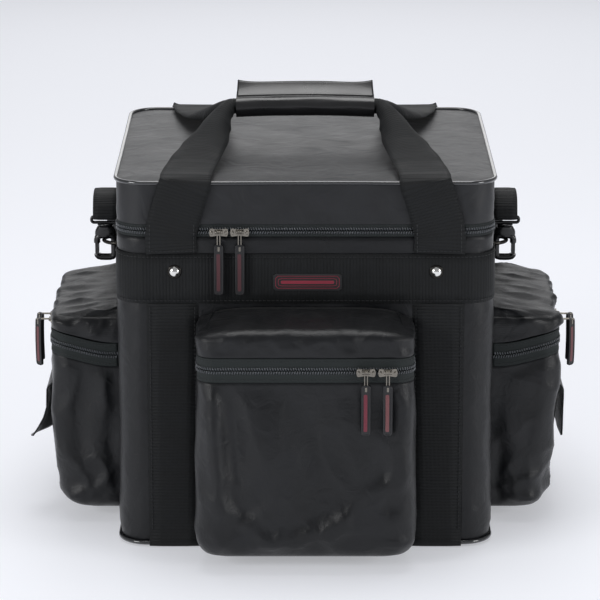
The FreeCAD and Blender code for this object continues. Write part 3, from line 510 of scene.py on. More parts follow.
def fold(spot: Vector, sizes_mm: tuple[float, float, float], seed: float) -> float:
    """Soft folds of cloth at a point, from -1 to 1, of the given sizes along X, Y and Z."""
    scaled = Vector((spot.x / sizes_mm[0], spot.y / sizes_mm[1], spot.z / sizes_mm[2])) / MM
    return noise.noise(scaled + Vector((seed, 1.7 * seed, 2.3 * seed)))


def crease(spot: Vector, sizes_mm: tuple[float, float, float], seed: float) -> float:
    """Sharp-backed creases at a point, from -1 to 1: ridges where the folds turn."""
    return 1 - 2 * abs(fold(spot, sizes_mm, seed)) ** 0.7


@dataclass(frozen=True)
class Ripple:
    """A pattern of folds: its height and its sizes along X, Y and Z in millimetres, and its seed."""

    rise: float
    sizes_mm: tuple[float, float, float]
    seed: float
    creased: bool = False

    def at(self, spot: Vector, shift: float) -> float:
        """Height of the pattern at a point in millimetres, its seed shifted."""
        pattern = crease if self.creased else fold
        return self.rise * pattern(spot, self.sizes_mm, self.seed + shift)


def rippled(patterns: Sequence[Ripple], spot: Vector, shift: float = 0.0) -> float:
    """Height of several patterns laid over each other, in millimetres."""
    return sum(pattern.at(spot, shift) for pattern in patterns)


# the box's wall: hanging slack, puckers under the zip and creases at its foot
WALL_SLACK = (Ripple(2.2, (42, 42, 120), 3.1), Ripple(0.9, (26, 26, 60), 7.7, creased=True))
WALL_PUCKER = (Ripple(0.9, (11, 11, 40), 1.3),)
WALL_FOOT = (Ripple(0.8, (30, 30, 22), 5.9, creased=True),)
# the lid: slow waves of its top, and the slack of its skirt
LID_WAVE = (Ripple(0.5, (70, 60, 60), 2.2), Ripple(0.25, (30, 45, 30), 6.1))
LID_SKIRT = (Ripple(1.3, (24, 24, 30), 5.2), Ripple(0.9, (34, 34, 26), 1.9, creased=True))
# a pocket: long hanging folds with creases, the crumpled foot, the hood's band and its gathered top
POCKET_HANG = (Ripple(2.4, (38, 30, 95), 0), Ripple(1.1, (30, 30, 70), 3, creased=True))
POCKET_FOOT = (Ripple(1.6, (24, 24, 26), 6, creased=True),)
HOOD_BAND = (Ripple(1.5, (18, 18, 34), 1), Ripple(0.9, (28, 28, 26), 5, creased=True))
HOOD_TOP = (Ripple(1.5, (16, 40, 40), 2), Ripple(1.0, (22, 50, 50), 8, creased=True))


def fade(value: float, start: float, end: float) -> float:
    """Smooth step from 0 at start to 1 at end."""
    share = min(max((value - start) / (end - start), 0.0), 1.0)
    return share * share * (3 - 2 * share)


# ---- Plans ----


@dataclass(frozen=True)
class Rim:
    """A point of a plan with its outward direction and its distance round."""

    spot: Vector
    out: Vector
    round: float


@dataclass(frozen=True)
class BoxPlan:
    """Rounded rectangle of the box seen from above, walked from the middle of the back past the left."""

    half_x: float
    half_y: float
    corner: float

    def walk(self, step: float, trim_back: float = 0.0) -> list[Rim]:
        """Points round the plan.

        Args:
            step: Spacing of the points.
            trim_back: Half the length that is left out of the back.

        Returns:
            The points, once round or from one end of the gap to the other.
        """
        flat_x, flat_y = self.half_x - self.corner, self.half_y - self.corner
        arc = math.pi / 2 * self.corner
        legs = [flat_x, arc, 2 * flat_y, arc, 2 * flat_x, arc, 2 * flat_y, arc, flat_x]
        whole = sum(legs)
        span = whole - 2 * trim_back
        count = max(round(span / step), 8)
        closed = trim_back == 0
        return [self.at(trim_back + span * i / count) for i in range(count if closed else count + 1)]

    def at(self, distance: float) -> Rim:
        """The point at a distance round from the middle of the back."""
        flat_x, flat_y = self.half_x - self.corner, self.half_y - self.corner
        arc = math.pi / 2 * self.corner
        left = distance
        ways = [(Vector((-1, 0, 0)), Vector((0, 1, 0))), (Vector((0, -1, 0)), Vector((-1, 0, 0))),
                (Vector((1, 0, 0)), Vector((0, -1, 0))), (Vector((0, 1, 0)), Vector((1, 0, 0))),
                (Vector((-1, 0, 0)), Vector((0, 1, 0)))]
        spot = Vector((0, self.half_y, 0))
        runs = [flat_x, 2 * flat_y, 2 * flat_x, 2 * flat_y, flat_x]
        for i, run in enumerate(runs):
            way, out = ways[i]
            if left <= run or i == len(runs) - 1:
                return Rim(spot + way * min(left, run), out, distance)
            left -= run
            spot = spot + way * run
            centre = spot - out * self.corner
            next_out = ways[i + 1][1]
            if left <= arc:
                turn = left / self.corner
                bent = out * math.cos(turn) + next_out * math.sin(turn)
                return Rim(centre + bent * self.corner, bent, distance)
            left -= arc
            spot = centre + next_out * self.corner
        raise ValueError("the distance is more than once round")

    def length(self) -> float:
        """Distance once round."""
        return 4 * (self.half_x + self.half_y - 2 * self.corner) + 2 * math.pi * self.corner

    def inset(self, drawn: float) -> "BoxPlan":
        """The same plan drawn in evenly."""
        return BoxPlan(self.half_x - drawn, self.half_y - drawn, self.corner - drawn)


BOX_PLAN = BoxPlan(HALF_X, HALF_Y, CORNER)


@dataclass(frozen=True)
class PocketPlan:
    """Plan of a bellows pocket: square against its wall, rounded away from it, walked left to right."""

    half: float
    depth: float
    corner: float

    def at(self, share: float) -> Rim:
        """The point at a share of the way round, in the pocket's own axes."""
        arc = math.pi / 2 * self.corner
        side, front = self.depth - self.corner, 2 * (self.half - self.corner)
        left = share * (2 * side + 2 * arc + front)
        distance = left
        if left <= side:
            return Rim(Vector((-self.half, -left, 0)), Vector((-1, 0, 0)), distance)
        left -= side
        if left <= arc:
            turn = left / self.corner
            out = Vector((-math.cos(turn), -math.sin(turn), 0))
            return Rim(Vector((-self.half + self.corner, -side, 0)) + out * self.corner, out, distance)
        left -= arc
        if left <= front:
            spot = Vector((-self.half + self.corner + left, -self.depth, 0))
            return Rim(spot, Vector((0, -1, 0)), distance)
        left -= front
        if left <= arc:
            turn = left / self.corner
            out = Vector((math.sin(turn), -math.cos(turn), 0))
            return Rim(Vector((self.half - self.corner, -side, 0)) + out * self.corner, out, distance)
        left = min(left - arc, side)
        return Rim(Vector((self.half, -side + left, 0)), Vector((1, 0, 0)), distance)

    def length(self) -> float:
        """Distance from wall to wall."""
        return 2 * (self.depth - self.corner) + math.pi * self.corner + 2 * (self.half - self.corner)


# ---- Webbing ----


@dataclass(frozen=True)
class Station:
    """One section of a strap: its middle, the direction of its width, its sizes and its curl."""

    centre: Vector
    across: Vector
    width: float
    thick: float
    curl: float = 0.0


@dataclass
class Webbing:
    """A length of woven strap with ribs across it."""

    stations: list[Station]
    closed: bool = False
    rib: float = 3.2 * MM
    relief: float = 0.28 * MM
    rows_per_rib: int = 4
    half_points: int = 5
    full_turn: float = 5.7

    def resampled(self) -> list[Station]:
        """Stations evenly spaced along a smooth line through the given ones."""
        given = self.stations
        count = len(given)
        reach = count if self.closed else count - 1
        fine: list[Station] = []
        for i in range(reach):
            if self.closed:
                a, b, c, d = (given[(i + k) % count] for k in (-1, 0, 1, 2))
            else:
                a, b, c, d = (given[min(max(i + k, 0), count - 1)] for k in (-1, 0, 1, 2))
            parts = max(int((c.centre - b.centre).length / (0.4 * MM)), 1)
            for k in range(parts):
                u = k / parts
                centre = 0.5 * (2 * b.centre + (c.centre - a.centre) * u
                                + (2 * a.centre - 5 * b.centre + 4 * c.centre - d.centre) * u ** 2
                                + (3 * b.centre - a.centre - 3 * c.centre + d.centre) * u ** 3)
                mix = u * u * (3 - 2 * u)
                across = (b.across * (1 - mix) + c.across * mix).normalized()
                fine.append(Station(centre, across, b.width + (c.width - b.width) * mix,
                                    b.thick + (c.thick - b.thick) * mix, b.curl + (c.curl - b.curl) * mix))
        if not self.closed:
            fine.append(given[-1])
        step = self.rib / self.rows_per_rib
        even = [fine[0]]
        gone = 0.0
        for near, far in zip(fine, fine[1:]):
            gone += (far.centre - near.centre).length
            if gone >= step:
                even.append(far)
                gone -= step
        return even

    def add_to(self, draft: Draft) -> None:
        """Add the strap to a draft, its weave running along it and its ribs standing proud."""
        stations = self.resampled()
        route = [station.centre for station in stations]
        rings: list[list[Vector]] = []
        shares = [2 * k / (self.half_points - 1) - 1 for k in range(self.half_points)]
        for i, station in enumerate(stations):
            along = heading(route, i, self.closed)
            across = (station.across - along * station.across.dot(along)).normalized()
            normal = along.cross(across)
            dip = self.relief * (1 - math.cos(2 * math.pi * i / self.rows_per_rib)) / 2
            half = station.thick / 2 - dip
            ring = []
            for side in (1, -1):
                for t in shares if side > 0 else shares[::-1]:
                    thin = half * (1 - 0.45 * abs(t) ** 6) * side
                    ring.append(self.spot(station, across, normal, t, thin))
            rings.append(ring)
        self.skin(draft, rings, shares)

    def spot(self, station: Station, across: Vector, normal: Vector, t: float, lift: float) -> Vector:
        """A point of the section, t from -1 to 1 across it, lifted off its middle layer."""
        if station.curl < 0.01:
            return station.centre + across * (t * station.width / 2) + normal * lift
        total = self.full_turn * station.curl
        radius = station.width / total
        angle = t * total / 2
        shift = radius * (1 - station.curl ** 2)
        return (station.centre + across * ((radius + lift) * math.sin(angle))
                + normal * ((radius + lift) * math.cos(angle) - shift))

    def skin(self, draft: Draft, rings: list[list[Vector]], shares: list[float]) -> None:
        """Faces over the rings, with weave lengths along the strap and across it."""
        base = len(draft.points)
        size = len(rings[0])
        width = self.stations[0].width
        v_of = [t * width / 2 for t in shares] + [t * width / 2 for t in shares[::-1]]
        for ring in rings:
            draft.points.extend(ring)
        step = self.rib / self.rows_per_rib
        last = len(rings) if self.closed else len(rings) - 1
        for i in range(last):
            here, there = base + i * size, base + (i + 1) % len(rings) * size
            for j in range(size):
                n = (j + 1) % size
                draft.faces.append((here + j, here + n, there + n, there + j))
                draft.weave.extend([(i * step, v_of[j]), (i * step, v_of[n]), ((i + 1) * step, v_of[n]),
                                    ((i + 1) * step, v_of[j])])
        if not self.closed:
            draft.polygon([base + j for j in range(size)][::-1])
            draft.polygon([base + (len(rings) - 1) * size + j for j in range(size)])


def stitch_row(draft: Draft, route: Sequence[Vector], pitch: float = 4.2 * MM, length: float = 2.9 * MM,
               radius: float = 0.32 * MM) -> None:
    """Add a row of lockstitches along a route of points."""
    gone = 0.0
    goal = pitch / 2
    for near, far in zip(route, route[1:]):
        run = (far - near).length
        while goal <= gone + run:
            middle = near.lerp(far, (goal - gone) / run)
            half = (far - near).normalized() * (length / 2)
            capsule(draft, middle - half, middle + half, radius, sides=5)
            goal += pitch
        gone += run


# ---- Box ----


@dataclass
class Box:
    """The padded box: nylon walls and base, lining, welt, waist band, straps, rivets and patch."""

    plan: BoxPlan = BOX_PLAN
    base: float = 1.8 * MM
    rim: float = high_of("wall_panel")
    edge_round: float = 9 * MM
    cloth: float = 1.2 * MM
    step: float = 5 * MM
    strap_middle: float = LEG_X
    strap_width: float = 50 * MM
    band_low: float = low_of("waist_band")
    band_high: float = BAND_TOP
    webbing: float = 1.7 * MM
    inner: float = 9.3 * MM
    floor: float = 7.1 * MM
    rivet_x: float = 128 * MM

    def build(self) -> None:
        """Make every piece of the box."""
        self.walls()
        self.lining()
        self.rim_binding()
        welt(self.plan, self.base + 2.2 * MM, "base_welt", "base_piping", "bag", 3.1)
        self.band()
        self.straps()
        self.rivets()
        self.patch()
        self.hidden_nodes()

    def wall_give(self, spot: Vector, out: Vector) -> float:
        """How far the wall's nylon stands off its plan: nothing where band and straps lie on it."""
        z = spot.z
        hidden = (fade(z, self.band_low - 6 * MM, self.band_low)
                  * (1 - fade(z, self.band_high, self.band_high + 5 * MM)))
        front = abs(out.y)
        under_strap = front * (1 - fade(abs(abs(spot.x) - self.strap_middle), 24 * MM, 27 * MM))
        pucker = rippled(WALL_PUCKER, spot) * fade(z, self.band_high, self.band_high + 6 * MM)
        foot = rippled(WALL_FOOT, spot) * (1 - fade(z, 25 * MM, 60 * MM))
        give = (rippled(WALL_SLACK, spot) + pucker + foot) * MM
        free = (1 - hidden) * (1 - under_strap)
        held = fade(z, self.base + 6 * MM, self.base + 22 * MM) * (1 - fade(z, self.rim - 5 * MM, self.rim))
        return min(give, 2.6 * MM) * free * held - 0.25 * MM * (1 - free)

    def walls(self) -> None:
        """Nylon walls that turn under into the base."""
        rims = self.plan.walk(self.step)
        rows = []
        height = self.rim - self.base - self.edge_round
        count = round(height / self.step)
        for i in range(count + 1):
            z = self.rim - height * i / count
            row = []
            for rim in rims:
                spot = rim.spot + UP * z
                row.append(spot + rim.out * self.wall_give(spot, rim.out))
            rows.append(row)
        for k in range(1, 5):
            turn = math.pi / 2 * k / 4
            drawn = self.edge_round * (1 - math.cos(turn))
            z = self.base + self.edge_round - self.edge_round * math.sin(turn)
            rows.append([rim.spot - rim.out * drawn * 0.4 + UP * max(z, self.base) for rim in rims])
        for share in (0.9, 0.75, 0.5, 0.25, 0.05):
            rows.append([Vector((rim.spot.x * share, rim.spot.y * share, self.base)) for rim in rims])
        draft = Draft()
        numbers = draft.grid(rows, closed=True)
        draft.polygon(numbers[-1])
        walls = draft.build("wall_and_base_nylon", NYLON, "bag", ("wall_panel", "base_panel"))
        thicken(walls, self.cloth)

    def lining(self) -> None:
        """Lining of the walls and floor, faintly quilted by the foam behind it."""
        rims = self.plan.inset(self.inner).walk(8 * MM)
        rows = []
        count = 38
        for i in range(count + 1):
            z = self.rim - (self.rim - self.floor) * i / count
            held = min(i, count - i) / 3
            row = []
            for rim in rims:
                spot = rim.spot + UP * z
                give = 0.5 * MM * fold(spot, (40, 40, 60), 9.1) * min(held, 1.0)
                row.append(spot + rim.out * (give - 0.4 * MM))
            rows.append(row)
        for share in (0.97, 0.8, 0.55, 0.3, 0.06):
            rows.append([Vector((rim.spot.x * share, rim.spot.y * share, self.floor)) for rim in rims])
        draft = Draft()
        numbers = draft.grid(rows, closed=True, flip=True)
        draft.polygon(numbers[-1])
        draft.build("lining_cloth", LINING, "bag", ("lining",))

    def rim_binding(self) -> None:
        """Tape bound over the walls' raw edge, inside the zip."""
        draft = Draft()
        loops = []
        for drawn, rise in ((1.6, -2.0), (1.6, 0.3), (3.0, 1.4), (7.6, 1.4), (9.6, 0.3), (9.8, -9.0)):
            plan = self.plan.inset(drawn * MM)
            loops.append([rim.spot + UP * (self.rim + rise * MM) for rim in self.spread(plan)])
        draft.grid(loops, closed=True)
        thicken(draft.build("rim_binding", TAPE, "bag"), 0.5 * MM)

    @staticmethod
    def spread(plan: BoxPlan, count: int = 240) -> list[Rim]:
        """Points round a plan by shares of its length, so that plans of different sizes match."""
        return [plan.at(plan.length() * i / count) for i in range(count)]

    def band(self) -> None:
        """Waist band of webbing round the box, with a row of stitches near each edge."""
        middle, width = (self.band_low + self.band_high) / 2, self.band_high - self.band_low
        stations = [Station(rim.spot + rim.out * 0.95 * MM + UP * middle, UP, width, self.webbing)
                    for rim in self.plan.walk(4 * MM)]
        draft = Draft()
        Webbing(stations, closed=True).add_to(draft)
        draft.build("waist_band_webbing", WEBBING, "bag", ("waist_band",), sharp=180)
        seams = Draft()
        for z in (self.band_low + 3 * MM, self.band_high - 3 * MM):
            stitch_row(seams, [rim.spot + rim.out * 1.85 * MM + UP * z for rim in self.plan.walk(6 * MM)])
        seams.build("waist_band_stitches", THREAD, "bag")

    def straps(self) -> None:
        """Two straps down the front, under the base and up the back."""
        draft, seams = Draft(), Draft()
        half = self.webbing / 2
        wall = self.plan.half_y + 0.95 * MM
        proud = self.plan.half_y + 4.1 * MM
        side_view = [(wall, self.band_low), (wall, 180 * MM), (wall, 100 * MM), (wall, 40 * MM),
                     (wall, 18 * MM), (wall + 1.2 * MM, 11 * MM), (proud, 6.2 * MM), (proud, 3.6 * MM),
                     (proud - 1.2 * MM, 1.3 * MM), (proud - 4.2 * MM, half), (wall - 14 * MM, half),
                     (100 * MM, half), (0, half)]
        for side in (-1, 1):
            x = side * self.strap_middle
            front = [Vector((x, -y, z)) for y, z in side_view]
            back = [Vector((x, y, z)) for y, z in side_view[-2::-1]]
            Webbing([Station(spot, Vector((1, 0, 0)), self.strap_width, self.webbing)
                     for spot in front + back]).add_to(draft)
            heights = [z * MM for z in (self.band_low / MM - 3, 180, 100, 18)]
            for face in (-1, 1):
                y = face * (wall + half + 0.02 * MM)
                for edge in (-1, 1):
                    seam_x = x + edge * (self.strap_width / 2 - 3 * MM)
                    stitch_row(seams, [Vector((seam_x, y, z)) for z in heights])
        draft.build("base_straps_webbing", WEBBING, "bag", ("base_straps",), sharp=180)
        seams.build("base_strap_stitches", THREAD, "bag")

    def rivets(self) -> None:
        """Chromed dome rivets on blackened washers."""
        height = (low_of("rivets") + high_of("rivets")) / 2
        dome = [(0.0, 3.2), (2.0, 3.0), (3.6, 2.4), (4.7, 1.5), (5.2, 0.7), (5.2, 0.2)]
        washer = [(5.0, 0.5), (5.6, 0.9), (6.4, 0.8), (7.0, 0.2)]
        turns = [2 * math.pi * k / 28 for k in range(28)]
        for name, profile, finish, nodes in (("rivet_domes", dome, CHROME, ("rivets",)),
                                             ("rivet_washers", washer, BLACK_STEEL, ())):
            draft = Draft()
            for side in (-1, 1):
                for face in (-1, 1):
                    centre = Vector((side * self.rivet_x, face * (self.plan.half_y + 1.8 * MM), height))
                    rows = []
                    for radius, lift in profile:
                        rows.append([centre + Vector((math.cos(a) * radius * MM, face * lift * MM,
                                                      math.sin(a) * radius * MM)) for a in turns])
                    draft.grid(rows, closed=True)
            piece = draft.build(name, finish, "bag", nodes, sharp=70)
            if name == "rivet_washers":
                thicken(piece, 0.25 * MM)

    def patch(self) -> None:
        """Rubber patch with a raised red frame round a plain red bar."""
        low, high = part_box("label_patch")
        middle = (low + high) / 2
        face = low.y
        half_x, half_z = (high.x - low.x) / 2, (high.z - low.z) / 2
        ground = face + 0.35 * MM
        slab = Draft()
        plate(slab, middle.x, middle.z, half_x, half_z, 2.6 * MM, high.y, ground)
        soften(slab.build("label_patch_rubber", PATCH, "bag", ("label_patch",)), 0.3 * MM)
        red = Draft()
        for grow, wide in ((-2.4, 0.45), (-4.8, 0.3)):
            route = rounded_loop(half_x + grow * MM, half_z + grow * MM, 2.2 * MM, 40)
            line = [Vector((middle.x + x, ground, middle.z + z)) for x, z in route]
            loft(red, line, [(wide * MM, 0.32 * MM)] * len(line), BACK, sides=8, closed=True)
        red.build("label_patch_frame", PATCH_RED, "bag")
        bar = Draft()
        plate(bar, middle.x, middle.z, half_x - 7.2 * MM, 1.7 * MM, 0.8 * MM, face + 0.4 * MM,
              face + 0.05 * MM)
        soften(bar.build("label_patch_bar", PATCH_RED, "bag"), 0.15 * MM)

    def hidden_nodes(self) -> None:
        """Finish the frame's own foam and board, which the cloth hides."""
        for node, finish in (("wall_padding", FOAM), ("base_board", BOARD)):
            recolour(node, finish)


def recolour(node: str, finish: Finish) -> None:
    """Give a node of the frame a finish without touching its shape."""
    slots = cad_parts[node].data.materials
    slots.clear()
    slots.append(finish.material())


def rounded_loop(half_x: float, half_z: float, corner: float, count: int) -> list[tuple[float, float]]:
    """Points round a flat rounded rectangle about the origin, evenly spaced."""
    plan = BoxPlan(half_x, half_z, corner)
    rims = [plan.at(plan.length() * i / count) for i in range(count)]
    return [(rim.spot.x, rim.spot.y) for rim in rims]


def plate(draft: Draft, x: float, z: float, half_x: float, half_z: float, corner: float, back: float,
          front: float) -> None:
    """Add an upright rounded plate between two depths.

    Args:
        draft: What receives the plate.
        x: Its middle along X.
        z: Its middle height.
        half_x: Half its width.
        half_z: Half its height.
        corner: Radius of its corners.
        back: Y of its back.
        front: Y of its front.
    """
    outline = rounded_loop(half_x, half_z, corner, 48)
    rows = [[Vector((x + u, y, z + v)) for u, v in outline] for y in (back, front)]
    draft.tube(rows)


def welt(plan: BoxPlan, height: float, name: str, node: str, body: str, seed: float) -> None:
    """Piping round a plan: vinyl over a cord, a little wavy where the cloth pulls it.

    Args:
        plan: The plan that it follows.
        height: Where its middle runs.
        name: The piece's name.
        node: The frame's node that it stands for.
        body: The body that it moves with.
        seed: Seed of its waves.
    """
    out, radius = 0.9 * MM, 2.1 * MM
    route = []
    for rim in plan.walk(5 * MM):
        sway = 0.35 * MM * fold(rim.spot, (60, 60, 60), seed)
        lift = 0.5 * MM * fold(rim.spot, (75, 75, 75), seed + 4)
        route.append(rim.spot + rim.out * (out + min(sway, 0.0)) + UP * (height + min(lift, 0.1 * MM)))
    draft = Draft()
    loft(draft, route, [(radius, radius)] * len(route), UP, sides=12, closed=True)
    draft.build(name, PIPING, body, (node,))


# ---- Lid ----


@dataclass
class Lid:
    """The lid: nylon cover with a puffed top, its welt, its padded lining and the cloth hinge."""

    plan: BoxPlan = BOX_PLAN
    edge: float = low_of("lid_shell")
    top: float = LID_TOP - 0.3 * MM
    shoulder: float = 2.2 * MM
    foam: float = 6 * MM
    quilt_pitch: float = 90 * MM
    cells: int = 60

    def build(self) -> None:
        """Make every piece of the lid."""
        self.cover()
        self.lining()
        welt(self.plan, self.top - 2.0 * MM, "lid_welt", "lid_piping", "lid", 8.4)
        self.hinge()

    def square_walk(self, a: int, b: int) -> tuple[float, float]:
        """Where a cell corner of a square grid falls on the rounded plan: how far out and how far round."""
        n = self.cells / 2
        u, v = (a - n) / n, (b - n) / n
        reach = max(abs(u), abs(v))
        if reach < 1e-9:
            return 0.0, 0.0
        if v >= abs(u) - 1e-9 and v > 0:
            turn = 0.125 * (-u / v) % 1.0
        elif -u >= abs(v) and u < 0:
            turn = 0.25 + 0.125 * (-v / -u)
        elif -v >= abs(u) and v < 0:
            turn = 0.5 + 0.125 * (u / -v)
        else:
            turn = 0.75 + 0.125 * (v / u)
        return reach, turn

    def surface(self, draft: Draft, plan: BoxPlan, height: Callable[[Vector, float], float],
                flip: bool) -> None:
        """Cover a rounded plan with an even grid of quads at a height worked out for each point."""
        rows = []
        around = plan.length()
        for b in range(self.cells + 1):
            row = []
            for a in range(self.cells + 1):
                reach, turn = self.square_walk(a, b)
                spot = plan.at(turn * around).spot * reach if reach else Vector((0, 0, 0))
                row.append(Vector((spot.x, spot.y, height(spot, reach))))
            rows.append(row)
        draft.grid(rows, flip=flip)

    def crown(self, spot: Vector, reach: float) -> float:
        """Height of the lid's top: drawn down at the welt, puffed inside it and a little wavy."""
        inland = 1 - reach
        puff = 2.2 * MM * fade(inland, 0.0, 0.16)
        wave = rippled(LID_WAVE, spot) * MM
        corner = 1.2 * MM * crease(spot, (34, 34, 34), 4.4) * fade(abs(spot.x) * abs(spot.y), 0.016, 0.03)
        under_leg = 1 - fade(abs(abs(spot.x) - 118 * MM), 42 * MM, 52 * MM)
        height = self.top - 2.4 * MM + puff + (wave + corner) * fade(inland, 0.0, 0.05)
        return height - under_leg * max(height - self.top + 0.1 * MM, 0.0)

    def cover(self) -> None:
        """Skirt and top of the lid in nylon."""
        rims = self.plan.walk(self.plan.length() / (4 * self.cells))
        rows = []
        drop = self.top - self.shoulder - self.edge
        for i in range(9):
            z = self.edge + drop * i / 8
            row = []
            for rim in rims:
                spot = rim.spot + UP * z
                free = fade(i / 8, 0.0, 0.2) * (1 - fade(i / 8, 0.8, 1.0))
                under_leg = abs(rim.out.y) * (1 - fade(abs(abs(spot.x) - LEG_X), 25 * MM, 32 * MM))
                give = rippled(LID_SKIRT, spot) * MM
                row.append(spot + rim.out * min(give, 1.5 * MM) * free * (1 - under_leg))
            rows.append(row)
        draft = Draft()
        draft.grid(rows, closed=True)
        self.surface(draft, self.plan, self.crown, flip=False)
        # the lid cover takes the nylon's paler copy, a painted sheen
        lid = draft.build("lid_nylon", SHEENED_LID_NYLON, "lid", ("lid_shell",), sharp=180)

    def lining(self) -> None:
        """Padded lining of the lid, bound at its rim."""
        draft = Draft()
        rims = self.plan.walk(self.plan.length() / (4 * self.cells))
        roof = self.top - self.foam - 3.4 * MM
        drawn_rows = ((1.5, self.edge + 0.4 * MM), (2.5, self.edge - 0.2 * MM), (6.4, self.edge - 0.2 * MM),
                      (7.4, self.edge + 0.8 * MM), (7.4, self.edge + 8 * MM), (7.4, self.edge + 16 * MM),
                      (8.0, roof))
        draft.grid([[rim.spot - rim.out * drawn * MM + UP * z for rim in rims] for drawn, z in drawn_rows],
                   closed=True)
        inner = self.plan.inset(8 * MM)

        def quilt(spot: Vector, reach: float) -> float:
            """Height of the lining's roof between its lines of stitches."""
            across, along = (abs(math.sin(math.pi * d / self.quilt_pitch)) for d in (spot.x, spot.y))
            lines = across * along
            return roof + (1 - lines ** 0.5) * 1.8 * MM * fade(1 - reach, 0.0, 0.05)

        self.surface(draft, inner, quilt, flip=True)
        lining = draft.build("lid_lining_cloth", LINING, "lid", ("lid_lining",), sharp=70)

    def hinge(self) -> None:
        """Strip of tape that joins the lid to the wall along the back."""
        low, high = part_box("lid_hinge_tape")
        rows = []
        for i in range(13):
            z = low.z + (high.z - low.z) * i / 12
            bow = 0.5 * MM * math.sin(math.pi * i / 12)
            y = high.y - 0.2 * MM + bow
            rows.append([Vector((low.x + (high.x - low.x) * j / 90, y, z)) for j in range(91)])
        tape = cloth("lid_hinge_cloth", rows, 0.9 * MM, TAPE, "", ("lid_hinge_tape",), sharp=50)
        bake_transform(tape)


# ---- Zips ----


@dataclass
class Zip:
    """One zip: two tapes, each with its row of coil teeth, along a walk of rims at one height."""

    name: str
    rims: list[Rim]
    split: float
    tape: float
    seat: Matrix
    lower_body: str
    upper_body: str
    pitch: float = 2.5 * MM
    proud: float = 1.05 * MM
    tooth_root: float = 3.4 * MM
    tooth_tip: float = 0.3 * MM
    tooth_radius: float = 0.68 * MM
    bulge: Callable[[float], float] = field(default=lambda share: 0.0)

    def build(self) -> None:
        """Make both halves."""
        for half, way, body in (("lower", -1, self.lower_body), ("upper", 1, self.upper_body)):
            self.tape_half(half, way, body)
            self.teeth(half, way, body)

    def route(self, lift: float, out: float) -> list[Vector]:
        """The rims' line at a height from the split and a distance off the tape."""
        reach = self.rims[-1].round - self.rims[0].round
        line = []
        for rim in self.rims:
            share = (rim.round - self.rims[0].round) / reach
            line.append(rim.spot + rim.out * out + UP * (self.split + lift + self.bulge(share)))
        return line

    def tape_half(self, half: str, way: int, body: str) -> None:
        """One tape, with the ridge beside the teeth and a sewn fold at its far edge."""
        profile = ((0.35, 0.1), (1.9, 0.35), (2.6, 0.1), (4.0, 0.0), (0.8 * self.tape / MM, 0.0),
                   (0.93 * self.tape / MM, 0.35), (self.tape / MM + 0.1, 0.1))
        rows = [self.route(way * lift * MM, out * MM) for lift, out in profile]
        draft = Draft()
        draft.grid(rows, flip=way < 0)
        piece = draft.build(f"{self.name}_tape_{half}", TAPE, body, (f"{self.name}_zip_{half}",), sharp=180,
                            seat=self.seat)
        thicken(piece, 0.8 * MM)
        seam = Draft()
        stitch_row(seam, self.route(way * self.tape * 0.78, 0.1 * MM), 3.4 * MM, 2.3 * MM, 0.28 * MM)
        seam.build(f"{self.name}_tape_stitches_{half}", THREAD, body, seat=self.seat)

    def teeth(self, half: str, way: int, body: str) -> None:
        """Turns of the nylon coil, each a slanted bar that reaches just over the split."""
        line = self.route(0.0, self.proud * 0.55)
        draft = Draft()
        gone, goal = 0.0, self.pitch * (0.5 if way < 0 else 1.0)
        for near, far in zip(line, line[1:]):
            run = (far - near).length
            along = (far - near).normalized()
            while goal <= gone + run:
                spot = near.lerp(far, (goal - gone) / run)
                root = spot + UP * way * self.tooth_root - along * 0.6 * MM
                tip = spot + UP * way * self.tooth_tip + along * 0.4 * MM
                capsule(draft, root, tip, self.tooth_radius, sides=6)
                goal += self.pitch
            gone += run
        draft.build(f"{self.name}_coil_{half}", COIL, body, seat=self.seat)


def wall_seat(where: Where) -> Matrix:
    """Where a wall's own axes stand: X along it, -Y away from the box."""
    shift = {Where.FRONT: Vector((0, -HALF_Y, 0)), Where.LEFT: Vector((-HALF_X, 0, 0)),
             Where.RIGHT: Vector((HALF_X, 0, 0))}[where]
    return Matrix.Translation(shift) @ Matrix.Rotation(math.radians(where.value), 4, "Z")


# ---- Bellows pockets ----


@dataclass(frozen=True)
class Pleat:
    """One fold of slack cloth on a pocket's face, from a point to a point in its wall's millimetres."""

    start: tuple[float, float]
    end: tuple[float, float]
    width: float
    rise: float

    def lift(self, spot: Vector) -> float:
        """How far the fold stands off the face at a point, in metres."""
        here = Vector((spot.x / MM, spot.z / MM)) - Vector(self.start)
        run = Vector(self.end) - Vector(self.start)
        share = min(max(here.dot(run) / run.length_squared, 0.0), 1.0)
        off = (here - run * share).length
        swell = math.sin(math.pi * (0.14 + 0.72 * share))
        return self.rise * MM * swell * math.exp(-(off / self.width) ** 2)


# folds given one by one: those of the front pocket, and those that both side pockets share
FRONT_PLEATS = (Pleat((-92, 196), (-80, 30), 8, 5.5), Pleat((-74, 192), (-64, 60), 9, -4.5),
                Pleat((-46, 196), (-36, 70), 16, 3.0), Pleat((6, 180), (10, 50), 18, -4.0),
                Pleat((20, 40), (98, 104), 9, 4.8), Pleat((-50, 28), (84, 58), 9, 4.2),
                Pleat((98, 190), (88, 90), 9, 4.0), Pleat((66, 130), (84, 70), 10, -3.6),
                Pleat((-94, 78), (-26, 24), 8, 3.8), Pleat((-70, 50), (-30, 90), 8, -2.4))
SIDE_PLEATS = (Pleat((-94, 172), (-78, 30), 8, 4.6), Pleat((94, 172), (82, 36), 8, 4.2),
               Pleat((-70, 30), (60, 20), 8, 3.0), Pleat((-84, 130), (-62, 40), 9, -3.0))


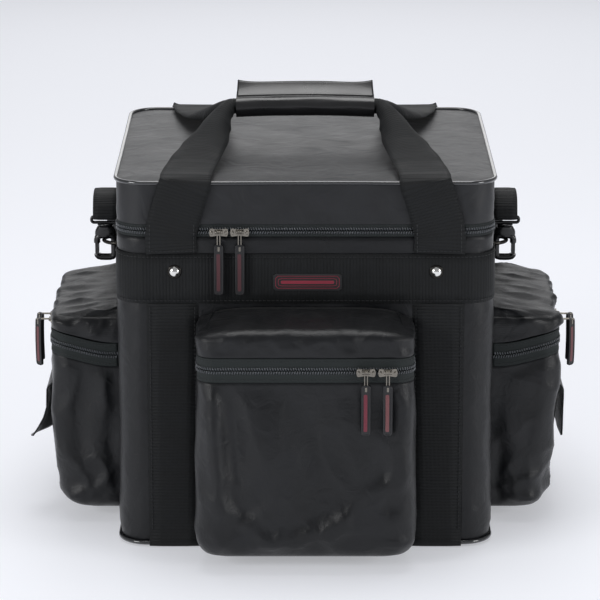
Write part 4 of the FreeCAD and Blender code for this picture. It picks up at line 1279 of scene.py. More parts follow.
@dataclass
class Pocket:
    """A bellows pocket: soft body, hood and zip, in its wall's own axes."""

    where: Where
    half: float
    depth: float
    foot: float
    low: float
    split: float
    top: float
    slack: float
    seed: float
    brow: float
    slump: float = 0.0
    pleats: tuple[Pleat, ...] = ()
    corner: float = 18 * MM
    tape: float = 11.9 * MM
    side_sag: float = 13 * MM
    foot_bend: float = 20 * MM
    pulls_x: float = 68.5 * MM
    columns: int = 132
    rows: int = 52

    def build(self) -> None:
        """Make the pocket's pieces."""
        self.body_cloth()
        self.hood()
        plan = PocketPlan(self.half, self.depth, self.corner)
        rims = [plan.at(0.012 + 0.976 * i / 120) for i in range(121)]
        name = self.where.word
        Zip(name, rims, self.split, self.tape, wall_seat(self.where), "bag", f"{name}_cap",
            bulge=self.sag).build()

    def sag(self, share: float) -> float:
        """How far the zip's line hangs below its height on the face, near the wall on a side pocket."""
        if self.where is Where.FRONT:
            return 0.0
        return -self.side_sag * (1 - fade(min(share, 1 - share), 0.02, 0.24))

    def ring(self, depth: float, half: float) -> list[Rim]:
        """Points round a plan of one depth."""
        plan = PocketPlan(half, depth, self.corner)
        return [plan.at(i / self.columns) for i in range(self.columns + 1)]

    def give(self, spot: Vector, share: float, rise: float) -> float:
        """How far the cloth stands off its plan: long hanging folds, creases at the corners and foot."""
        pinned = (fade(rise, 0.0, 0.1) * (1 - fade(rise, 0.9, 1.0))
                  * fade(share, 0.0, 0.06) * (1 - fade(share, 0.94, 1.0)))
        tilted = Vector((spot.x + 0.35 * spot.z, spot.y, spot.z - 0.3 * spot.x))
        hang = rippled(POCKET_HANG, tilted, self.seed)
        foot = rippled(POCKET_FOOT, spot, self.seed) * (1 - fade(rise, 0.12, 0.4))
        belly = 3.2 * math.sin(math.pi * min(rise * 1.1, 1.0)) * math.sin(math.pi * share)
        on_face = fade(-spot.y, self.foot * 0.8, self.foot * 0.95)
        folds = sum(pleat.lift(spot) for pleat in self.pleats) * on_face
        give = (((hang + foot) * self.slack + belly) * MM + folds) * pinned
        near_pulls = 0.0
        if self.where is Where.FRONT:
            near_pulls = 1 - fade(abs(spot.x - self.pulls_x), 20 * MM, 30 * MM)
        return min(give, (7.5 - 3.3 * near_pulls) * MM)

    def body_cloth(self) -> None:
        """Sides, front and rounded foot of the pocket."""
        top = self.split - self.tape
        rows = []
        bend = self.foot_bend
        for i in range(self.rows + 1):
            rise = 1 - i / self.rows
            z = self.low + (top - self.low) * rise
            depth = self.foot + (self.depth - self.foot) * rise
            under = max(bend - (z - self.low), 0.0)
            drawn = 0.62 * (bend - math.sqrt(max(bend * bend - under * under, 0.0)))
            row = []
            for j, rim in enumerate(self.ring(depth - drawn, self.half - drawn)):
                share = j / self.columns
                spot = rim.spot + UP * (z + self.sag(share) * fade(rise, 0.3, 1.0))
                row.append(spot + rim.out * self.give(spot, share, rise))
            rows.append(row)
        foot = rows[-1]
        for share in (0.8, 0.5, 0.2, 0.0):
            z = self.low - 0.4 * MM * (1 - share)
            rows.append([Vector((p.x * (0.25 + 0.75 * share), p.y * share, z)) for p in foot])
        name = self.where.word
        cloth(f"{name}_pocket_nylon", rows, 1.1 * MM, NYLON, "bag", (f"{name}_pocket",),
              seat=wall_seat(self.where))

    def hood(self) -> None:
        """Hood over the zip: an upright band that rolls over into a sloping top."""
        bottom = self.split + self.tape + 0.4 * MM
        roll = 12 * MM if self.where is Where.FRONT else 6 * MM
        gather = 1.3 if self.where is Where.FRONT else 2.4
        rows = []
        for i in range(9):
            rise = i / 8
            z = bottom + (self.brow - roll - bottom) * rise
            rows.append(self.hood_row(z, 0.0, rise * 0.5, gather, 0.0))
        for k in range(1, 6):
            turn = math.pi / 2 * k / 5
            z = self.brow - roll + roll * math.sin(turn) * 0.8
            drawn = roll * (1 - math.cos(turn))
            rows.append(self.hood_row(z, drawn, 0.5 + 0.1 * k, gather, self.slump * k / 5))
        rim = rows[-1]
        for k in range(1, 11):
            share = k / 10
            row = []
            for p in rim:
                z = p.z + (self.top - p.z) * share - self.slump * share * abs(p.x / self.half) ** 6
                spot = Vector((p.x * (1 - 0.06 * share), p.y * (1 - share), z))
                lift = rippled(HOOD_TOP, spot, self.seed)
                spot.z += lift * gather * MM * math.sin(math.pi * min(share * 1.15, 1.0))
                row.append(spot)
            rows.append(row)
        name = self.where.word
        cloth(f"{name}_pocket_hood", rows, 1.0 * MM, NYLON, f"{name}_cap", (f"{name}_pocket_cap",),
              seat=wall_seat(self.where))

    def hood_row(self, z: float, drawn: float, rise: float, gather: float, slump: float) -> list[Vector]:
        """One row of the hood's cloth, drawn in, gathered and let down at its ends."""
        row = []
        for j, rim in enumerate(self.ring(self.depth - drawn, self.half - drawn * 0.8)):
            share = j / self.columns
            spot = rim.spot + UP * (z + self.sag(share) * (1 - fade(rise, 0.0, 1.0))
                                    - slump * abs(rim.spot.x / self.half) ** 6)
            ends = fade(share, 0.0, 0.05) * (1 - fade(share, 0.95, 1.0))
            folds = rippled(HOOD_BAND, spot, self.seed)
            out = rim.out * folds * gather * MM * ends * fade(rise, 0.0, 0.3)
            row.append(spot + out + UP * folds * 0.4 * MM * rise)
        return row


@dataclass
class PatchPocket:
    """Flat pocket sewn on a side pocket's face, and the flap that hangs over its mouth."""

    where: Where
    flare: float
    seed: float
    half: float = 68 * MM
    low: float = 20 * MM
    high: float = 132 * MM
    depth: float = 9 * MM
    foot: float = 58 * MM
    lean: float = 14 / 166.1
    foot_height: float = 12 * MM

    def face(self, z: float) -> float:
        """How far the side pocket's face stands from the wall at a height."""
        return self.foot + (z - self.foot_height) * self.lean

    def build(self) -> None:
        """Make the pocket and its flap."""
        rows = []
        for i in range(25):
            v = i / 24
            z = self.low + (self.high - self.low) * v
            row = []
            for j in range(41):
                u = 2 * j / 40 - 1
                spot = Vector((u * self.half, 0, z))
                swell = (1 - abs(u) ** 9) * (1 - (1 - v) ** 12)
                slack = 1.3 * MM * fold(spot, (30, 30, 45), self.seed) - 0.8 * MM
                out = 0.5 * MM + (self.depth - 1.2 * MM + min(slack, 0.4 * MM)) * swell
                row.append(Vector((spot.x, -(self.face(z) + out), z)))
            rows.append(row)
        name = self.where.word
        cloth(f"{name}_patch_pocket_nylon", rows, 1.0 * MM, NYLON, "bag", (f"{name}_patch_pocket",),
              seat=wall_seat(self.where))
        hem = Draft()
        for inset in (2.5, 5.0):
            line = [p + Vector((0, -0.25 * MM, -inset * MM)) for p in rows[-1][3:-3]]
            stitch_row(hem, line)
        hem.build(f"{name}_patch_pocket_stitches", THREAD, "bag", seat=wall_seat(self.where))
        self.flap()

    def flap(self) -> None:
        """Flap of two cloths, sewn at its root, with rounded lower corners."""
        profile = ((0.9, 138.6), (2.6, 139.2), (6.0, 137.6), (9.6, 134.9), (11.4, 131.5), (12.2, 124.0),
                   (12.8, 112.0), (13.3, 100.0), (13.7, 90.0), (14.0, 82.0), (14.1, 79.6))
        half = self.half + 2 * MM
        rows = []
        for i, (out, z) in enumerate(profile):
            share = i / (len(profile) - 1)
            row = []
            for j in range(41):
                u = 2 * j / 40 - 1
                tuck = 14 * MM * (1 - math.sqrt(max(1 - max(share - 0.72, 0.0) ** 2 / 0.0784, 0.0)))
                x = u * (half - min(tuck, 14 * MM) * 0.7)
                spot = Vector((x, 0, z * MM))
                wave = 0.9 * MM * fold(spot, (34, 34, 60), self.seed + 5) * fade(share, 0.3, 0.7)
                rear = -u if self.where is Where.RIGHT else u
                corner = self.flare * fade(share, 0.55, 1.0) * fade(rear, 0.3, 1.0)
                y = -(self.face(z * MM) + out * MM + max(wave, -0.4 * MM) + corner)
                row.append(Vector((x, y, z * MM)))
            rows.append(row)
        name = self.where.word
        cloth(f"{name}_flap_nylon", rows, 1.5 * MM, NYLON, f"{name}_flap", (f"{name}_flap",),
              seat=wall_seat(self.where))


# ---- Carry handles ----


@dataclass
class CarryHandle:
    """A webbing handle in one piece: two flat legs that roll up into the grip."""

    name: str
    face: int
    grip_y: float
    grip_rise: float
    bow: float
    leg_x: float = LEG_X
    lean: float = 15 * MM
    grip_x: float = 72 * MM
    wall: float = HALF_Y
    foot_y: float = 177.8 * MM
    lid_top: float = LID_TOP + 1.3 * MM
    width: float = 50 * MM
    thick: float = 2 * MM
    route: tuple[tuple[float, float, float, float], ...] = (
        (0.05, 0.00, 0.03, 0.0), (0.16, 0.04, 0.06, 0.0), (0.36, 0.16, 0.18, 0.05), (0.60, 0.34, 0.42, 0.2),
        (0.82, 0.56, 0.74, 0.5), (0.94, 0.76, 0.92, 0.82), (0.99, 0.90, 0.99, 0.97),
        (1.00, 1.00, 1.00, 1.0))

    def leg_at(self, z: float) -> float:
        """How far a leg's middle stands from the bag's middle at a height: it leans in as it rises."""
        return self.leg_x - self.lean * fade(z, MAIN_SPLIT + 3 * MM, LID_TOP + 8 * MM)

    def leg(self, side: int) -> list[tuple[Vector, Vector, float]]:
        """Middle, outward direction and roll of one leg, from the waist band to the grip."""
        outward = Vector((0, self.face, 0))
        upright = ((self.foot_y, BAND_TOP + 0.8 * MM), (self.foot_y, MAIN_SPLIT),
                   (179.4 * MM, LID_TOP - 13 * MM), (179.6 * MM, LID_TOP - 4 * MM))
        spots = [(Vector((side * self.leg_at(z), self.face * y, z)), outward, 0.0) for y, z in upright]
        start = self.leg_at(LID_TOP)
        bend = Vector((side * start, self.face * 178.3 * MM, LID_TOP + 0.7 * MM))
        spots.append((bend, (outward + UP).normalized(), 0.0))
        for back, inward, rise, roll in self.route:
            y = self.face * self.wall + back * (self.grip_y - self.face * self.wall)
            x = side * (start + inward * (self.grip_x - start))
            z = self.lid_top + 1 * MM + rise * (self.grip_rise - 1 * MM)
            spots.append((Vector((x, y, z)), UP.copy(), roll))
        return spots

    def build(self) -> None:
        """Make the handle and the stitched box that holds each foot."""
        left, right = self.leg(-1), self.leg(1)
        height = left[-1][0].z
        middle = [(Vector((x * MM, self.grip_y, height + self.bow * (1 - (x / 72) ** 2))), UP.copy(), 1.0)
                  for x in (-48, -24, 0, 24, 48)]
        spots = left + middle + right[::-1]
        route = [spot[0] for spot in spots]
        stations = []
        for i, (centre, normal, roll) in enumerate(spots):
            across = normal.cross(heading(route, i)).normalized()
            width, thick = self.width - 7 * MM * roll, self.thick - 0.4 * MM * roll
            stations.append(Station(centre, across, width, thick, roll))
        draft = Draft()
        Webbing(stations, full_turn=6.0, half_points=11).add_to(draft)
        webbing = draft.build(f"{self.name}_webbing", WEBBING, "", (self.name,), sharp=180)
        self.sew(webbing)
        seams = Draft()
        y = self.face * 178.85 * MM
        heights = (BAND_TOP + 1.5 * MM, MAIN_SPLIT - 10 * MM, MAIN_SPLIT + 9 * MM)
        for side in (-1, 1):
            for edge in (-1, 1):
                stitch_row(seams, [Vector((side * self.leg_at(z) + edge * 21.5 * MM, y, z)) for z in heights])
            foot = BAND_TOP + 3.5 * MM
            stitch_row(seams, [Vector((side * self.leg_at(foot) + d * MM, y, foot)) for d in (-21, 0, 21)])
        self.sew(seams.build(f"{self.name}_stitches", THREAD, ""))

    def sew(self, piece: bpy.types.Object) -> None:
        """Bake a piece's placement into its mesh; it rides on no body."""
        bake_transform(piece)


@dataclass
class Grip:
    """Leatherette sleeve round the front handle's grip, and its loose flap."""

    half: float = 70 * MM
    outer: float = 10.4 * MM
    inner: float = 8.95 * MM
    y: float = -13 * MM
    z: float = (low_of("grip_wrap") + high_of("grip_wrap")) / 2
    bow: float = 1.6 * MM

    def rise(self, x: float) -> float:
        """Height of the sleeve's middle line, bowed up at the centre."""
        return self.z + self.bow * (0.4 - (x / self.half) ** 2)

    def build(self) -> None:
        """Make the sleeve and the flap."""
        rows = []
        stops = [self.half * (2 * i / 56 - 1) for i in range(57)]
        for radius, xs in ((self.outer, stops), (self.inner, stops[::-1])):
            for x in xs:
                ring = []
                for k in range(40):
                    turn = 2 * math.pi * k / 40
                    spot = Vector((x, math.cos(turn), math.sin(turn)))
                    dent = 0.35 * MM * fold(Vector((x, 0.02 * spot.y, 0.02 * spot.z)), (26, 9, 9), 4.2)
                    seam = 0.3 * MM * math.exp(-((turn - 1.5 * math.pi) / 0.12) ** 2)
                    reach = radius + (min(dent, 0.1 * MM) - seam if radius == self.outer else 0.0)
                    ring.append(Vector((x, self.y + spot.y * reach, self.rise(x) + spot.z * reach)))
                rows.append(ring)
        rows.append(rows[0])
        draft = Draft()
        draft.grid(rows, closed=True)
        draft.build("grip_sleeve_leatherette", LEATHERETTE, "front_handle", ("grip_wrap",), sharp=60)
        self.flap()

    def flap(self) -> None:
        """Flap that stands behind the sleeve, its ends lifting."""
        root = 11.6 * MM
        rows = []
        for i in range(13):
            share = i / 12
            reach = 18 * MM * share
            row = []
            for j in range(61):
                u = 2 * j / 60 - 1
                x = u * self.half * (1 - 0.02 * share)
                y = self.y + 0.5 * root + 0.8 * reach
                wave = 0.8 * MM * fold(Vector((x, 0, 0)), (45, 9, 9), 2.6) * share
                lift = 3.2 * MM * abs(u) ** 6 * share + wave
                sink = 2.4 * MM * math.sin(math.pi * share) * 0.5
                z = self.rise(x) + 0.866 * root + 0.6 * reach + lift - sink
                row.append(Vector((x, y, z)))
            rows.append(row)
        cloth("grip_flap_leatherette", rows, 1.4 * MM, LEATHERETTE, "grip_flap", ("grip_flap",), sharp=60)


# ---- Rings, tabs, hooks and shoulder strap ----


@dataclass
class SideClips:
    """Ring tabs, D-rings and swivel snap hooks on both sides."""

    ring_height: float = (low_of("d_rings") + high_of("d_rings")) / 2
    hook_x: float = 205.7 * MM

    def build(self) -> None:
        """Make both sides."""
        tabs, seams = Draft(), Draft()
        for side in (-1, 1):
            self.tab(tabs, seams, side)
        tabs.build("ring_tab_webbing", WEBBING, "bag", ("ring_tabs",), sharp=180)
        seams.build("ring_tab_stitches", THREAD, "bag")
        recolour("d_rings", BLACK_STEEL)
        for side, name in ((-1, "left"), (1, "right")):
            self.hook(side, name)
            recolour(f"{name}_gate", ACETAL)

    def tab(self, draft: Draft, seams: Draft, side: int) -> None:
        """Webbing folded round the ring's bar and sewn down above and below it."""
        profile = ((187.8, -12.6), (187.9, -8.5), (189.0, -5.0), (192.0, -3.1), (193.6, 0.0), (192.0, 3.1),
                   (189.0, 5.0), (187.9, 8.5), (187.8, 12.6))
        stations = [Station(Vector((side * x * MM, 0, self.ring_height + z * MM)), BACK, 23.6 * MM, 1.3 * MM)
                    for x, z in profile]
        Webbing(stations, rib=2.4 * MM, relief=0.15 * MM).add_to(draft)
        for z in (-11.0, 11.0):
            height = self.ring_height + z * MM
            line = [Vector((side * 188.5 * MM, y * MM, height)) for y in (-10, 0, 10)]
            stitch_row(seams, line, 3 * MM, 2.1 * MM)

    def hook(self, side: int, name: str) -> None:
        """Snap hook: an eye with a gap for the gate, a neck with a collar, and a loop for the strap."""
        draft = Draft()

        def at(x: float, z: float) -> Vector:
            """A point of the hook from millimetres outward and above the ring."""
            return Vector((side * (self.hook_x + x * MM), 0, self.ring_height + z * MM))

        eye = [(8.75, -15.1), (8.6, -16.2), (7.2, -17.7), (4.5, -18.3), (0, -18.4), (-4.5, -18.3),
               (-7.2, -17.7), (-8.6, -16.0), (-8.75, -13.0), (-8.75, -7.0), (-8.75, -1.0), (-8.3, 2.2),
               (-6.0, 4.3), (0, 5.0), (6.0, 4.3), (8.3, 2.2), (8.75, 0.0), (8.75, -2.9)]
        loft(draft, [at(x, z) for x, z in eye], [(4.3 * MM, 3.3 * MM)] * len(eye), BACK, squareness=2.8)
        neck = ((3.6, 4.3, 10.4), (6.0, 4.6, 10.9), (8.5, 4.9, 10.8), (11.0, 5.2, 10.0), (12.6, 5.5, 9.0),
                (13.9, 5.6, 8.4), (14.3, 4.8, 7.2))
        loft(draft, [at(0, z) for z, _, _ in neck], [(deep * MM, wide * MM) for _, deep, wide in neck], BACK,
             squareness=2.6, sides=24)
        collar = ((14.1, 5.0), (15.0, 7.6), (15.8, 8.2), (16.9, 8.0), (17.6, 6.6))
        loft(draft, [at(0, z) for z, _ in collar], [(r * 0.8 * MM, r * MM) for _, r in collar], BACK,
             sides=24)
        loop_middle = 21.2
        loop = [at(x, z + loop_middle) for x, z in rounded_loop(14.2, 3.0, 2.4, 48)]
        loft(draft, loop, [(2.8 * MM, 1.5 * MM)] * len(loop), BACK, closed=True, squareness=2.6)
        draft.build(f"{name}_snap_hook", ACETAL, "bag", (f"{name}_hook",), sharp=60)


@dataclass
class ShoulderStrap:
    """Webbing from hook to hook that hangs behind the box, with a pad round its middle."""

    side: float = HALF_X
    top: float = high_of("left_hook")
    width: float = 25 * MM
    thick: float = 2 * MM
    pad_half: float = 95 * MM
    pad_width: float = 46 * MM
    pad_thick: float = 7 * MM
    route: tuple[tuple[tuple[float, float, float], tuple[float, float]], ...] = (
        ((20.7, 4.6, 8.0), (1, 0)), ((20.7, 3.9, 3.0), (1, 0)), ((20.7, 3.4, -1.6), (1, 0)),
        ((20.7, 0.0, -4.2), (1, 0)), ((20.7, -3.4, -1.6), (1, 0)), ((20.7, -3.2, 4.0), (1, 0)),
        ((20.7, -0.5, 10.5), (1, 0)), ((21, 9, 16.3), (1, 0)), ((21.3, 24, 18.3), (1, 0)),
        ((22, 48, 16), (1, 0)), ((22.5, 82, 9), (1, 0)),
        ((22.6, 118, -3), (1, 0)), ((22.4, 155, -20), (1, 0)), ((21, 188, -43), (0.97, 0.1)),
        ((16, 214, -73), (0.8, 0.5)), ((5, 228, -107), (0.45, 0.85)), ((-14, 234, -140), (0.15, 1)),
        ((-37, 236, -169), (0, 1)), ((-65, 236, -191), (0, 1)), ((-94, 236, -205), (0, 1)))

    def build(self) -> None:
        """Make the strap and its pad."""
        half: list[Station] = []
        for (out, back, rise), (across_x, across_y) in self.route:
            centre = Vector((self.side + out * MM, back * MM, self.top + rise * MM))
            across = Vector((across_x, across_y, 0)).normalized()
            half.append(Station(centre, across, self.width, self.thick))
        other = [Station(Vector((-s.centre.x, s.centre.y, s.centre.z)),
                         Vector((s.across.x, -s.across.y, 0)), s.width, s.thick) for s in half]
        whole = aligned(other + half[::-1])
        webbing = Webbing(whole, rib=2.6 * MM, relief=0.18 * MM)
        draft = Draft()
        webbing.add_to(draft)
        strap = draft.build("shoulder_strap_webbing", WEBBING, "bag", ("shoulder_strap",), sharp=180)
        self.pad()

    def pad(self) -> None:
        """Pad with a swelled middle and bound edges, carried under the strap."""
        middle_z = self.top - 205 * MM - self.thick / 2 - self.pad_thick / 2 - 0.1 * MM
        centre = Vector((0, 236 * MM, middle_z))
        draft = Draft()
        faces = []
        for side in (1, -1):
            grid = []
            for i in range(17):
                v = 2 * i / 16 - 1
                row = []
                for j in range(49):
                    u = 2 * j / 48 - 1
                    swell = (1 - abs(u) ** 8) * (1 - abs(v) ** 6)
                    lift = (0.6 * MM + (self.pad_thick / 2 - 0.7 * MM) * swell) * side
                    pinch = 1 - 0.05 * (1 - abs(u) ** 2)
                    squared = 1 - 0.035 * abs(v) ** 8
                    x, y = u * self.pad_half * squared, v * self.pad_width / 2 * pinch
                    row.append(centre + Vector((x, y, lift)))
                grid.append(row)
            faces.append(grid)
        top, under = faces
        draft.grid(top)
        draft.grid(under, flip=True)
        edge = [row[0] for row in top][::-1] + top[0][1:] + [row[-1] for row in top][1:] + top[-1][-2::-1]
        pad = draft.build("shoulder_pad_nylon", NYLON, "bag", ("shoulder_pad",), sharp=180)
        binding = Draft()
        line = [p + Vector((0, 0, -0.6 * MM)) for p in edge[:-1]]
        even = [line[k] for k in range(0, len(line), 2)]
        loft(binding, even, [(1.5 * MM, 1.1 * MM)] * len(even), UP, sides=8, closed=True)
        binding.build("shoulder_pad_binding", TAPE, "bag")


def aligned(stations: list[Station]) -> list[Station]:
    """Turn each station's width so that it never flips against the one before."""
    kept = [stations[0]]
    for station in stations[1:]:
        flip = station.across.dot(kept[-1].across) < 0
        across = -station.across if flip else station.across
        kept.append(Station(station.centre, across, station.width, station.thick, station.curl))
    return kept


# ---- Sliders and pulls ----


@dataclass
class Slider:
    """A zip slider and its pull, drawn with the zip along X, the split at Z = 0 and -Y outward.

    The profiles inside its methods are in millimetres. The twist of the tabs is in degrees and is used
    on the side pockets only, where the tabs hang free of the cloth.
    """

    name: str
    where: Where
    spot: Vector
    fall: Fall
    stripe: Finish
    pin: float = 7 * MM
    reach: float = 13 * MM
    tab_length: float = 50 * MM
    tab_half: float = 4.5 * MM
    tab_thick: float = 2.8 * MM
    stripe_half: float = 1.8 * MM
    tab_twist: float = 44

    def build(self) -> None:
        """Make the slider, the link, the tab and its stripe."""
        seat = Matrix.Translation(self.spot) @ Matrix.Rotation(math.radians(self.where.value), 4, "Z")
        self.body(seat)
        self.link(seat)
        self.tab(seat)

    def body(self, seat: Matrix) -> None:
        """Waisted face plate, lower rail, two ears and the pin."""
        draft = Draft()
        outline = []
        for way in (1, -1):
            for k in range(25):
                x = (2 * k / 24 - 1) * way
                end = (1 - abs(x) ** 10) ** 0.5
                half = (3.2 + 1.5 * abs(x) ** 1.6) * end
                outline.append((9.4 * x, (half if way > 0 else -half) - 0.75))
        del outline[25]  # the same point as the one before it
        spots = [(x * MM, z * MM) for x, z in outline]
        draft.tube([[Vector((x, y * MM, z)) for x, z in spots] for y in (-3.6, -4.95)])
        draft.tube([[Vector((x * 0.93, y * MM, -2.4 * MM if z > -2.4 * MM else z)) for x, z in spots]
                    for y in (-0.4, -3.7)])
        for x in (-3.05, 3.05):
            rings = []
            for y, half in ((-4.6, 2.1), (-6.2, 1.9), (-7.6, 1.6), (-8.3, 0.8)):
                rings.append([Vector(((x + dx) * MM, y * MM, dz * half * MM))
                              for dx, dz in ((-0.75, -1), (0.75, -1), (0.75, 1), (-0.75, 1))])
            draft.tube(rings)
        pin_end = Vector((4.2 * MM, -self.pin, 0))
        capsule(draft, Vector((-pin_end.x, pin_end.y, 0)), pin_end, 0.7 * MM, sides=10)
        for x in (-7.0, 7.0):
            loft(draft, [Vector((x * MM, y * MM, -0.75 * MM)) for y in (-4.6, -5.4, -5.75)],
                 [(2.3 * MM, 1.5 * MM), (2.1 * MM, 1.3 * MM), (1.2 * MM, 0.7 * MM)], UP, sides=16)
        slider = draft.build(f"{self.name}_slider_body", GUNMETAL, f"{self.name}_slider",
                             (f"{self.name}_slider",), sharp=35, seat=seat)
        soften(slider, 0.35 * MM)

    def hang(self, along: float) -> Vector:
        """Middle line of the pull at a distance from the pin."""
        if self.fall is Fall.STRAIGHT:
            return Vector((0, -self.pin, -along))
        return Vector((0, -self.pin - along, 0))

    def link(self, seat: Matrix) -> None:
        """Rolled eye on the pin and two wires down to the tab."""
        draft = Draft()
        rings = []
        for x, radius in ((-1.9, 1.0), (-1.9, 1.55), (1.9, 1.55), (1.9, 1.0), (-1.9, 1.0)):
            rings.append([Vector((x * MM, -self.pin + math.cos(a) * radius * MM, math.sin(a) * radius * MM))
                          for a in (2 * math.pi * k / 16 for k in range(16))])
        draft.grid(rings, closed=True)
        for x in (-1.3, 1.3):
            shift = Vector((x * MM, 0, 0))
            near, far = self.hang(1.3 * MM) + shift, self.hang(self.reach + 0.8 * MM) + shift
            capsule(draft, near, far, 0.62 * MM, sides=10)
        end = self.hang(self.reach + 0.6 * MM)
        capsule(draft, end - Vector((1.9 * MM, 0, 0)), end + Vector((1.9 * MM, 0, 0)), 0.7 * MM, sides=10)
        draft.build(f"{self.name}_pull_link", GUNMETAL, f"{self.name}_pull", (f"{self.name}_pull",),
                    sharp=45, seat=seat)

    def tab(self, seat: Matrix) -> None:
        """Moulded tab with raised edges, a crimped metal throat and a coloured inlay."""
        if self.fall is Fall.STRAIGHT:
            top, y = -self.reach + 0.6 * MM, -self.pin
        else:
            top, y = 0.9 * MM, -self.pin - self.reach + self.tab_thick / 2
        low = top - self.tab_length - 0.6 * MM
        middle, half = (top + low) / 2, (top - low) / 2
        front, back = y - self.tab_thick / 2, y + self.tab_thick / 2

        twist = {Where.FRONT: 0, Where.LEFT: self.tab_twist, Where.RIGHT: -self.tab_twist}[self.where]
        turn = Matrix.Rotation(math.radians(twist), 3, "Z")

        def bent(draft: Draft) -> None:
            """Bow the rubber a little along its length, and turn it as a hanging tab turns on its link."""
            for point in draft.points:
                share = (point.z - middle) / half
                point.y += 0.7 * MM * (share ** 2 - 0.5) - y
                point.xy = (turn @ Vector((point.x, point.y, 0))).xy
                point.y += y

        draft = Draft()
        plate(draft, 0, middle, self.tab_half, half, 2.6 * MM, back, front + 0.3 * MM)
        edge = [Vector((x, front + 0.45 * MM, middle + z)) for x, z in
                rounded_loop(self.tab_half - 0.75 * MM, half - 0.75 * MM, 2.0 * MM, 60)]
        loft(draft, edge, [(0.6 * MM, 0.7 * MM)] * len(edge), BACK, sides=8, closed=True)
        bent(draft)
        tab = draft.build(f"{self.name}_pull_tab", TAB_RUBBER, f"{self.name}_pull", sharp=50, seat=seat)
        soften(tab, 0.3 * MM)
        inlay = Draft()
        for face, lift in ((front + 0.32 * MM, -0.22 * MM), (back - 0.05 * MM, 0.2 * MM)):
            plate(inlay, -0.4 * MM, middle - 2.5 * MM, self.stripe_half, half - 6.5 * MM, 1.0 * MM, face,
                  face + lift)
        bent(inlay)
        inlay.build(f"{self.name}_pull_inlay", self.stripe, f"{self.name}_pull", sharp=50, seat=seat)
        crimp = Draft()
        plate(crimp, 0, top - 4.2 * MM, 1.0 * MM, 2.2 * MM, 0.5 * MM, back + 0.12 * MM, front - 0.12 * MM)
        bent(crimp)
        crimp.build(f"{self.name}_pull_crimp", GUNMETAL, f"{self.name}_pull", sharp=50, seat=seat)


# ---- Studio ----


@dataclass(frozen=True)
class SoftBox:
    """A square soft light: where it stands, what it faces, its width and its power in watts."""

    name: str
    place: tuple[float, float, float]
    aim: tuple[float, float, float]
    size: float
    power: float

    def build(self) -> None:
        """Hang the light."""
        data = bpy.data.lights.new(f"{self.name}_box", "AREA")
        data.shape = "SQUARE"
        data.size = self.size
        data.energy = self.power
        light = bpy.data.objects.new(f"{self.name}_box", data)
        light.location = self.place
        light.rotation_euler = (Vector(self.aim) - Vector(self.place)).to_track_quat("-Z", "Y").to_euler()
        bpy.context.scene.collection.objects.link(light)


@dataclass
class Studio:
    """Pale round floor, soft lights and the camera."""

    lens: float = 191.9
    place: tuple[float, float, float] = (-0.0053, -3.1991, 1.0764)
    pitch: float = 74.8
    floor_rings: tuple[float, ...] = (0.02, 0.6, 1.5, 3.0, 5.0, 7.0, 9.0)
    floor_sides: int = 96
    floor_glow: float = 0.4
    surround: float = 0.36
    boxes: tuple[SoftBox, ...] = (
        SoftBox("top", (0.0, 0.3, 2.6), (0, 0, 0.2), 1.4, 30),
        SoftBox("left", (-2.1, -1.9, 1.1), (0, 0, 0.2), 0.9, 30),
        SoftBox("right", (2.2, -1.5, 0.9), (0, 0, 0.2), 0.8, 20),
        SoftBox("back", (0.0, 2.8, 1.5), (0, 0, 0.3), 1.8, 10))

    def build(self) -> None:
        """Set up everything that isn't the bag."""
        bpy.context.scene.view_settings.view_transform = "Standard"
        self.camera()
        self.floor()
        self.lights()

    def camera(self) -> None:
        """Long lens, a little above the bag and square to its front."""
        data = bpy.data.cameras.new("camera")
        data.lens = self.lens
        data.sensor_width = 36
        data.clip_end = 50
        camera = bpy.data.objects.new("camera", data)
        camera.location = self.place
        camera.rotation_euler = (math.radians(self.pitch), 0, 0)
        bpy.context.scene.collection.objects.link(camera)
        bpy.context.scene.camera = camera

    def floor(self) -> None:
        """Wide round floor of matte paper, large enough for any view from above."""
        turns = [2 * math.pi * k / self.floor_sides for k in range(self.floor_sides)]
        rings = [[Vector((reach * math.cos(a), reach * math.sin(a), 0)) for a in turns]
                 for reach in self.floor_rings]
        draft = Draft()
        numbers = draft.grid(rings, closed=True)
        draft.polygon(numbers[0])
        mesh = bpy.data.meshes.new("floor")
        mesh.from_pydata(draft.points, [], draft.faces)
        mesh.polygons.foreach_set("use_smooth", [True] * len(mesh.polygons))
        material = bpy.data.materials.new("floor_paper")
        material.use_nodes = True
        shader = material.node_tree.nodes["Principled BSDF"]
        shader.inputs["Base Color"].default_value = linear("#cfd1d7")
        shader.inputs["Roughness"].default_value = 0.75
        shader.inputs["Emission Color"].default_value = linear("#eff0f4")
        shader.inputs["Emission Strength"].default_value = self.floor_glow
        mesh.materials.append(material)
        paper = bpy.data.objects.new("floor", mesh)
        bpy.context.scene.collection.objects.link(paper)

    def lights(self) -> None:
        """Large soft boxes above, left, right and behind, and an even pale surround."""
        world = bpy.data.worlds.new("surround")
        world.use_nodes = True
        sky = world.node_tree.nodes["Background"]
        sky.inputs["Color"].default_value = linear("#f4f5f9")
        sky.inputs["Strength"].default_value = self.surround
        bpy.context.scene.world = world
        for box in self.boxes:
            box.build()


# ---- The whole bag ----


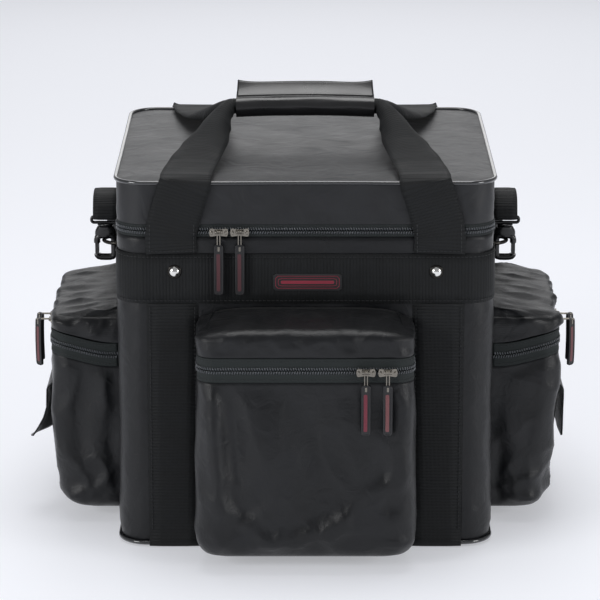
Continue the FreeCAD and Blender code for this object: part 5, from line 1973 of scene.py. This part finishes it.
def sliders() -> Iterable[Slider]:
    """Every slider of the bag, at the place that the frame gives it."""
    walls = {"main_left": Where.FRONT, "main_right": Where.FRONT,
             "front_pocket_left": Where.FRONT, "front_pocket_right": Where.FRONT,
             "left_pocket_front": Where.LEFT, "left_pocket_back": Where.LEFT,
             "right_pocket_front": Where.RIGHT, "right_pocket_back": Where.RIGHT}
    teeth = {Where.FRONT: (-HALF_Y, MAIN_SPLIT), Where.LEFT: (-SIDE_FACE, SIDE_SPLIT),
             Where.RIGHT: (SIDE_FACE, SIDE_SPLIT)}
    for name, where in walls.items():
        low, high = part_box(f"{name}_slider")
        middle = (low + high) / 2
        reach, height = teeth[where]
        if name.startswith("front_pocket"):
            reach, height = -FRONT_FACE, FRONT_SPLIT
        if where is Where.FRONT:
            spot, fall = Vector((middle.x, reach, height)), Fall.STRAIGHT
        else:
            spot, fall = Vector((reach, middle.y, height)), Fall.OUTWARD
        # the main zip's pulls take the stripe's painted-shade copy, the others its painted-sheen copy, the
        # front pocket's left pull the stripe itself
        stripe = SHADED_STRIPE if name.startswith("main") else SHEENED_STRIPE
        yield Slider(name, where, spot, fall, STRIPE if name == "front_pocket_left" else stripe)


def pockets() -> Iterable[Pocket]:
    """The three bellows pockets; the side ones are alike but for their folds."""
    yield Pocket(Where.FRONT, half=105 * MM, depth=80 * MM, foot=80 * MM, low=13 * MM, split=FRONT_SPLIT,
                 top=248 * MM, slack=1.0, seed=2.0, brow=247 * MM, slump=9 * MM, pleats=FRONT_PLEATS)
    for where, seed in ((Where.LEFT, 5.0), (Where.RIGHT, 11.0)):
        yield Pocket(where, half=100 * MM, depth=72 * MM, foot=58 * MM, low=12 * MM, split=SIDE_SPLIT,
                     top=226 * MM, slack=2.1, seed=seed, brow=217 * MM, pleats=SIDE_PLEATS)


def main() -> None:
    """Build the studio and the bag, piece by piece."""
    logging.basicConfig(level=logging.INFO, format="%(message)s")
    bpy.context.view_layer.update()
    Studio().build()
    Box().build()
    Lid().build()
    main_rims = BOX_PLAN.walk(5 * MM, trim_back=157.5 * MM)
    Zip("main", main_rims, MAIN_SPLIT + 0.05 * MM, 5.9 * MM, Matrix.Identity(4), "bag", "lid").build()
    for pocket in pockets():
        pocket.build()
    PatchPocket(Where.LEFT, flare=19 * MM, seed=3.0).build()
    PatchPocket(Where.RIGHT, flare=1.0 * MM, seed=8.0).build()
    for slider in sliders():
        slider.build()
    CarryHandle("back_handle", face=1, grip_y=14 * MM, grip_rise=33 * MM, bow=0.0).build()
    CarryHandle("front_handle", face=-1, grip_y=-13 * MM, grip_rise=39 * MM, bow=1.2 * MM).build()
    Grip().build()
    SideClips().build()
    ShoulderStrap().build()


if __name__ == "__main__":
    main()
